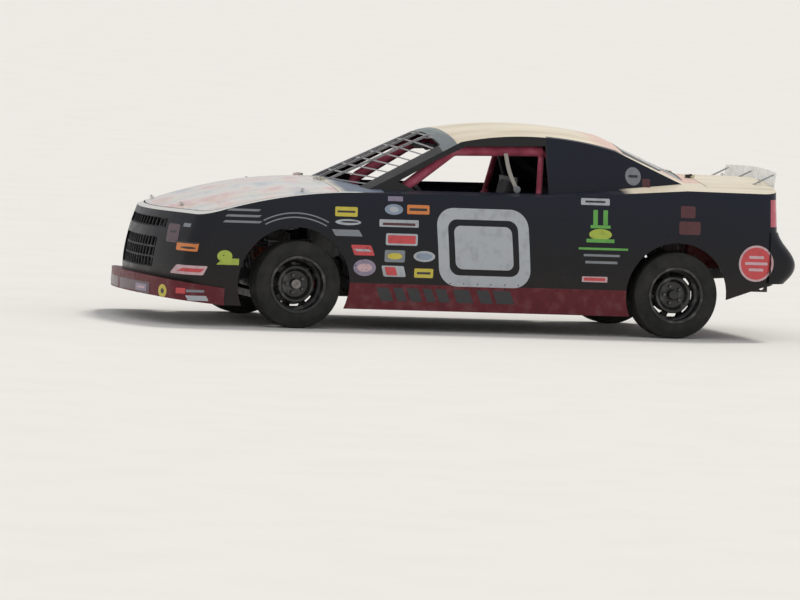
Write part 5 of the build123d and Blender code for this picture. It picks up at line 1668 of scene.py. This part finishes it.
def make_running_gear(settings):
    """Calipers on the front knuckles, coil springs at the rear, straps and a filler cap on the fuel cell."""
    for way, side in SIDES:
        shape = bmesh.new()
        for inner, outer, near, far in CALIPER:
            corners = ((inner, near), (outer, near), (outer, far), (inner, far))
            rows = []
            for step in range(CALIPER_STEPS + 1):
                turn = CALIPER_START + (CALIPER_END - CALIPER_START) * step / CALIPER_STEPS
                rows.append([shape.verts.new(round_axle(away, turn, side * y)) for away, y in corners])
            stitch(shape, rows)
        for turn in PISTON_TURNS:
            lathe(shape, PISTON, frame_at(round_axle(PISTON_CIRCLE, turn, side * 0.762), (0, side, 0)))
        keep(way + "_brake_caliper", shape, way + "_knuckle", "brake_steel", "bottle")

    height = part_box("rear_springs")[1].z - settings.spring_foot
    shape = bmesh.new()
    for _, side in SIDES:
        foot = Vector((REAR_AXLE, side * SPRING_Y, settings.spring_foot))
        coil(shape, foot, height, SPRING_RADIUS, SPRING_WIRE, SPRING_ROUNDS)
    piece = keep("rear_coil_springs", shape, CHASSIS, "spring_steel", "spring")
    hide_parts("rear_springs")

    low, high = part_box("fuel_cell")
    size, middle = high - low, (low + high) / 2
    inside = rounded(size.x + 0.001, size.z + 0.001, 0, 0.002, 2)
    outside = rounded(size.x + 0.007, size.z + 0.007, 0, 0.004, 2)
    shape = bmesh.new()
    for y in CELL_STRAPS:
        place = axes_at((middle.x, y + CELL_STRAP_WIDTH / 2, middle.z), (1, 0, 0), UPWARD)
        plate(shape, [outside, inside], place, CELL_STRAP_WIDTH)
    cap = at(CELL_CAP_X, 0, high.z)
    lathe(shape, CELL_CAP, cap, 40, 1)
    keep("fuel_cell_straps", shape, CHASSIS, "frame_black", "frame", "alloy")
    spots = [(point, Vector(UPWARD)) for point in circle(cap, CAP_BOLT_CIRCLE, 0.005, CAP_BOLTS)]
    scatter("fuel_cap_bolts", spots, CAP_BOLT, 6, CHASSIS, "zinc")


# Stage


SUN_FROM, SUN_SPREAD, SUN_COLOR = (-0.45, -0.35, 0.85), 12, (1.0, 0.95, 0.88)


def make_stage(settings):
    """Pale floor, even sky light, one soft sun and a camera at the photograph's angle."""
    shape = bmesh.new()
    bmesh.ops.create_circle(shape, cap_ends=True, segments=96, radius=settings.floor_radius)
    floor = stand("studio_floor", mesh_of("studio_floor", shape))
    finish = Finish("studio_floor", settings.floor_color, 0.85)
    tone = tuple(settings.floor_color)
    finish.color(finish.ramp(finish.noise(1.5, 4), (0.3, shade(tone, 0.97)), (0.7, tone)))
    floor.data.materials.append(finish.material)

    world = bpy.data.worlds.new("studio")
    world.use_nodes = True
    tree = world.node_tree
    light = tree.nodes["Background"]
    light.inputs["Color"].default_value = (1, 1, 1, 1)
    light.inputs["Strength"].default_value = settings.sky_strength
    shown = tree.nodes.new("ShaderNodeBackground")
    shown.inputs["Color"].default_value = (*settings.floor_color, 1)
    shown.inputs["Strength"].default_value = 1.0
    path = tree.nodes.new("ShaderNodeLightPath")
    seen = tree.nodes.new("ShaderNodeMath")
    seen.operation = "MAXIMUM"
    mix = tree.nodes.new("ShaderNodeMixShader")
    tree.links.new(path.outputs["Is Camera Ray"], seen.inputs[0])
    tree.links.new(path.outputs["Is Transmission Ray"], seen.inputs[1])
    for number, source in enumerate((seen, light, shown)):
        tree.links.new(source.outputs[0], mix.inputs[number])
    tree.links.new(mix.outputs[0], tree.nodes["World Output"].inputs["Surface"])
    scene = bpy.context.scene
    scene.world = world
    scene.view_settings.view_transform = "Standard"

    sun_data = bpy.data.lights.new("soft_sun", "SUN")
    sun_data.energy = settings.sun_strength
    sun_data.angle = math.radians(SUN_SPREAD)
    sun_data.color = SUN_COLOR
    stand("soft_sun", sun_data).matrix_world = frame_at((0, 0, 6), SUN_FROM)
    make_camera()


# The photograph's view: turn about Z, rise, roll, and where one point of the car shows
VIEW_TURN = 164.5
VIEW_RISE = 3.2
VIEW_ROLL = -2.52
VIEW_DISTANCE = 60.0
PIXELS_PER_METRE = 139.9
PHOTO_WIDTH, PHOTO_HEIGHT = 800, 600
SENSOR_WIDTH = 36.0
SEEN_POINT = Vector((-0.0775, 0.9, 0.31))
SEEN_PIXEL = (488.2, 290.4)


def make_camera():
    """A long lens far off, set so that the seen point falls on its pixel."""
    turn, rise, roll = (math.radians(a) for a in (VIEW_TURN, VIEW_RISE, VIEW_ROLL))
    back = Vector((math.sin(turn) * math.cos(rise), -math.cos(turn) * math.cos(rise), math.sin(rise)))
    right = (-back).cross(Vector(UPWARD)).normalized()
    up = right.cross(-back)
    turned_right = right * math.cos(roll) - up * math.sin(roll)
    turned_up = right * math.sin(roll) + up * math.cos(roll)
    focal_pixels = PIXELS_PER_METRE * VIEW_DISTANCE
    shift_right = (SEEN_PIXEL[0] - PHOTO_WIDTH / 2) / focal_pixels
    shift_up = (PHOTO_HEIGHT / 2 - SEEN_PIXEL[1]) / focal_pixels
    place = SEEN_POINT + (back - turned_right * shift_right - turned_up * shift_up) * VIEW_DISTANCE
    data = bpy.data.cameras.new("photo_view")
    data.sensor_width = SENSOR_WIDTH
    data.lens = focal_pixels * SENSOR_WIDTH / PHOTO_WIDTH
    data.clip_end = 500
    camera = stand("photo_view", data)
    axes = Matrix((turned_right, turned_up, back)).transposed().to_4x4()
    camera.matrix_world = at(*place) @ axes
    bpy.context.scene.camera = camera


# Settings and operators


class CoupeColors(bpy.types.PropertyGroup):
    body_color: FloatVectorProperty(
        name="Body", description="Paint of the sheet sides", subtype="COLOR", default=(0.011, 0.011, 0.013)
    )
    # This cream is painted in as the sky's reflection on the black roof, deck lid and shoulders
    reflection_cream_color: FloatVectorProperty(
        name="Roof", description="Paint of the roof and deck lid", subtype="COLOR", default=(0.74, 0.67, 0.53)
    )
    hood_color: FloatVectorProperty(
        name="Hood", description="Ground colour of the hood", subtype="COLOR", default=(0.64, 0.64, 0.62)
    )
    trim_color: FloatVectorProperty(
        name="Trim", description="Paint of the lip and rockers", subtype="COLOR", default=(0.13, 0.012, 0.020)
    )
    tyre_color: FloatVectorProperty(
        name="Tyres", description="Rubber of the tyres", subtype="COLOR", default=(0.016, 0.017, 0.016)
    )
    number_size: FloatVectorProperty(
        name="Number frame", description="Width and height", size=2, unit="LENGTH", default=(0.68, 0.56)
    )


class CoupeWheels(bpy.types.PropertyGroup):
    tyre_steps: IntProperty(name="Tyre steps", description="Steps round each tyre", default=120, min=24)
    bead_radius: FloatProperty(
        name="Bead radius", description="Radius of the tyre's bead", unit="LENGTH", default=0.1905
    )
    lug_count: IntProperty(name="Lug nuts", description="Nuts on each wheel", default=5, min=3)
    lug_circle: FloatProperty(
        name="Lug circle", description="Radius of the circle of nuts", unit="LENGTH", default=0.0635
    )
    lug_face: FloatProperty(
        name="Lug face", description="Disc's face outside the wheel's middle", unit="LENGTH", default=0.012
    )


class CoupeTrim(bpy.types.PropertyGroup):
    arch_row: FloatProperty(
        name="Arch rivets", description="Radius of the rivet row of an arch", unit="LENGTH", default=0.435
    )
    belt_width: FloatProperty(name="Belts", description="Width of the webbing", unit="LENGTH", default=0.072)
    pad_cell: FloatProperty(name="Pad mesh", description="Cell size of pads", unit="LENGTH", default=0.006)
    pad_pressure: FloatProperty(name="Pad pressure", description="Air pressure in the pads", default=4.0)
    pad_cap: FloatProperty(name="Pad swell", description="Furthest swell", unit="LENGTH", default=0.009)
    spring_foot: FloatProperty(
        name="Spring foot", description="Height of the rear springs' lower end", unit="LENGTH", default=0.350
    )


class CoupeStage(bpy.types.PropertyGroup):
    floor_radius: FloatProperty(name="Floor", description="Radius of the floor", unit="LENGTH", default=150.0)
    floor_color: FloatVectorProperty(
        name="Floor colour", description="Floor and backdrop", subtype="COLOR", default=(0.80, 0.79, 0.77)
    )
    sky_strength: FloatProperty(name="Sky", description="Strength of the even light", default=0.62)
    sun_strength: FloatProperty(name="Sun", description="Strength of the soft sun", default=1.7)


class CoupeOperator:
    """What the operators share."""

    bl_options = {"REGISTER", "UNDO"}


class COUPE_OT_stage(CoupeOperator, bpy.types.Operator):
    """Adds the floor, the lights and the camera"""

    bl_idname = "coupe.stage"
    bl_label = "Stage"

    def execute(self, context):
        make_stage(context.scene.coupe_stage)
        return {"FINISHED"}


class COUPE_OT_paint(CoupeOperator, bpy.types.Operator):
    """Makes the materials and gives them to the car's panels and parts"""

    bl_idname = "coupe.paint"
    bl_label = "Paint"

    def execute(self, context):
        make_materials(context.scene.coupe_colors)
        dress_nodes()
        return {"FINISHED"}


class COUPE_OT_tyres(CoupeOperator, bpy.types.Operator):
    """Makes the grooved tyres with ribbed sidewalls"""

    bl_idname = "coupe.tyres"
    bl_label = "Tyres"

    def execute(self, context):
        make_tyres(context.scene.coupe_wheels)
        return {"FINISHED"}


class COUPE_OT_wheel_trim(CoupeOperator, bpy.types.Operator):
    """Adds lug nuts, dust caps and valves"""

    bl_idname = "coupe.wheel_trim"
    bl_label = "Wheel Trim"

    def execute(self, context):
        make_wheel_trim(context.scene.coupe_wheels)
        return {"FINISHED"}


class COUPE_OT_stickers(CoupeOperator, bpy.types.Operator):
    """Lays the blank stickers on both sides"""

    bl_idname = "coupe.stickers"
    bl_label = "Stickers"

    def execute(self, context):
        make_stickers(context.scene.coupe_colors)
        return {"FINISHED"}


class COUPE_OT_fasteners(CoupeOperator, bpy.types.Operator):
    """Adds the rivets of the sheet sides and the pins of both lids"""

    bl_idname = "coupe.fasteners"
    bl_label = "Fasteners"

    def execute(self, context):
        make_fasteners(context.scene.coupe_trim)
        return {"FINISHED"}


class COUPE_OT_seat_pads(CoupeOperator, bpy.types.Operator):
    """Fills the seat with its sewn pads"""

    bl_idname = "coupe.seat_pads"
    bl_label = "Seat Pads"

    def execute(self, context):
        make_seat_pads(context.scene.coupe_trim)
        return {"FINISHED"}


class COUPE_OT_belts(CoupeOperator, bpy.types.Operator):
    """Adds the harness and the window strap"""

    bl_idname = "coupe.belts"
    bl_label = "Belts"

    def execute(self, context):
        make_belts(context.scene.coupe_trim)
        return {"FINISHED"}


class COUPE_OT_dash_kit(CoupeOperator, bpy.types.Operator):
    """Adds gauges, switches and the steering wheel's pad"""

    bl_idname = "coupe.dash_kit"
    bl_label = "Dash"

    def execute(self, context):
        make_dash_kit()
        return {"FINISHED"}


class COUPE_OT_cabin_kit(CoupeOperator, bpy.types.Operator):
    """Adds the mirror, shift lever, pedals and fire bottle"""

    bl_idname = "coupe.cabin_kit"
    bl_label = "Cabin Kit"

    def execute(self, context):
        make_cabin_kit()
        return {"FINISHED"}


class COUPE_OT_engine(CoupeOperator, bpy.types.Operator):
    """Puts the detailed engine in the plain block's place"""

    bl_idname = "coupe.engine"
    bl_label = "Engine"

    def execute(self, context):
        make_engine()
        return {"FINISHED"}


class COUPE_OT_cooling(CoupeOperator, bpy.types.Operator):
    """Adds the fan, its shroud and the coolant pipes"""

    bl_idname = "coupe.cooling"
    bl_label = "Cooling"

    def execute(self, context):
        make_cooling()
        return {"FINISHED"}


class COUPE_OT_running_gear(CoupeOperator, bpy.types.Operator):
    """Adds brake calipers, coil springs and the fuel cell's straps"""

    bl_idname = "coupe.running_gear"
    bl_label = "Running Gear"

    def execute(self, context):
        make_running_gear(context.scene.coupe_trim)
        return {"FINISHED"}


OPERATORS = (
    COUPE_OT_stage,
    COUPE_OT_paint,
    COUPE_OT_tyres,
    COUPE_OT_wheel_trim,
    COUPE_OT_stickers,
    COUPE_OT_fasteners,
    COUPE_OT_seat_pads,
    COUPE_OT_belts,
    COUPE_OT_dash_kit,
    COUPE_OT_cabin_kit,
    COUPE_OT_engine,
    COUPE_OT_cooling,
    COUPE_OT_running_gear,
)


class COUPE_PT_panel(bpy.types.Panel):
    """Lists the coupe's pieces and their settings"""

    bl_idname = "COUPE_PT_panel"
    bl_label = "Stock Race Coupe"
    bl_space_type = "VIEW_3D"
    bl_region_type = "UI"
    bl_category = "Coupe"

    def draw(self, context):
        scene = context.scene
        for settings in (scene.coupe_colors, scene.coupe_wheels, scene.coupe_trim, scene.coupe_stage):
            box = self.layout.box()
            for name in settings.__annotations__:
                box.prop(settings, name)
        for operator in OPERATORS:
            self.layout.operator(operator.bl_idname)


SETTINGS = (
    ("coupe_colors", CoupeColors),
    ("coupe_wheels", CoupeWheels),
    ("coupe_trim", CoupeTrim),
    ("coupe_stage", CoupeStage),
)
CLASSES = (*(kind for _, kind in SETTINGS), *OPERATORS, COUPE_PT_panel)


def register():
    for kind in CLASSES:
        bpy.utils.register_class(kind)
    for name, kind in SETTINGS:
        setattr(bpy.types.Scene, name, PointerProperty(type=kind))


def unregister():
    for name, _ in SETTINGS:
        delattr(bpy.types.Scene, name)
    for kind in reversed(CLASSES):
        bpy.utils.unregister_class(kind)


def main():
    """Builds the whole dressed car."""
    register()
    for operator in OPERATORS:
        family, name = operator.bl_idname.split(".")
        getattr(getattr(bpy.ops, family), name)()


if __name__ == "__main__":
    main()
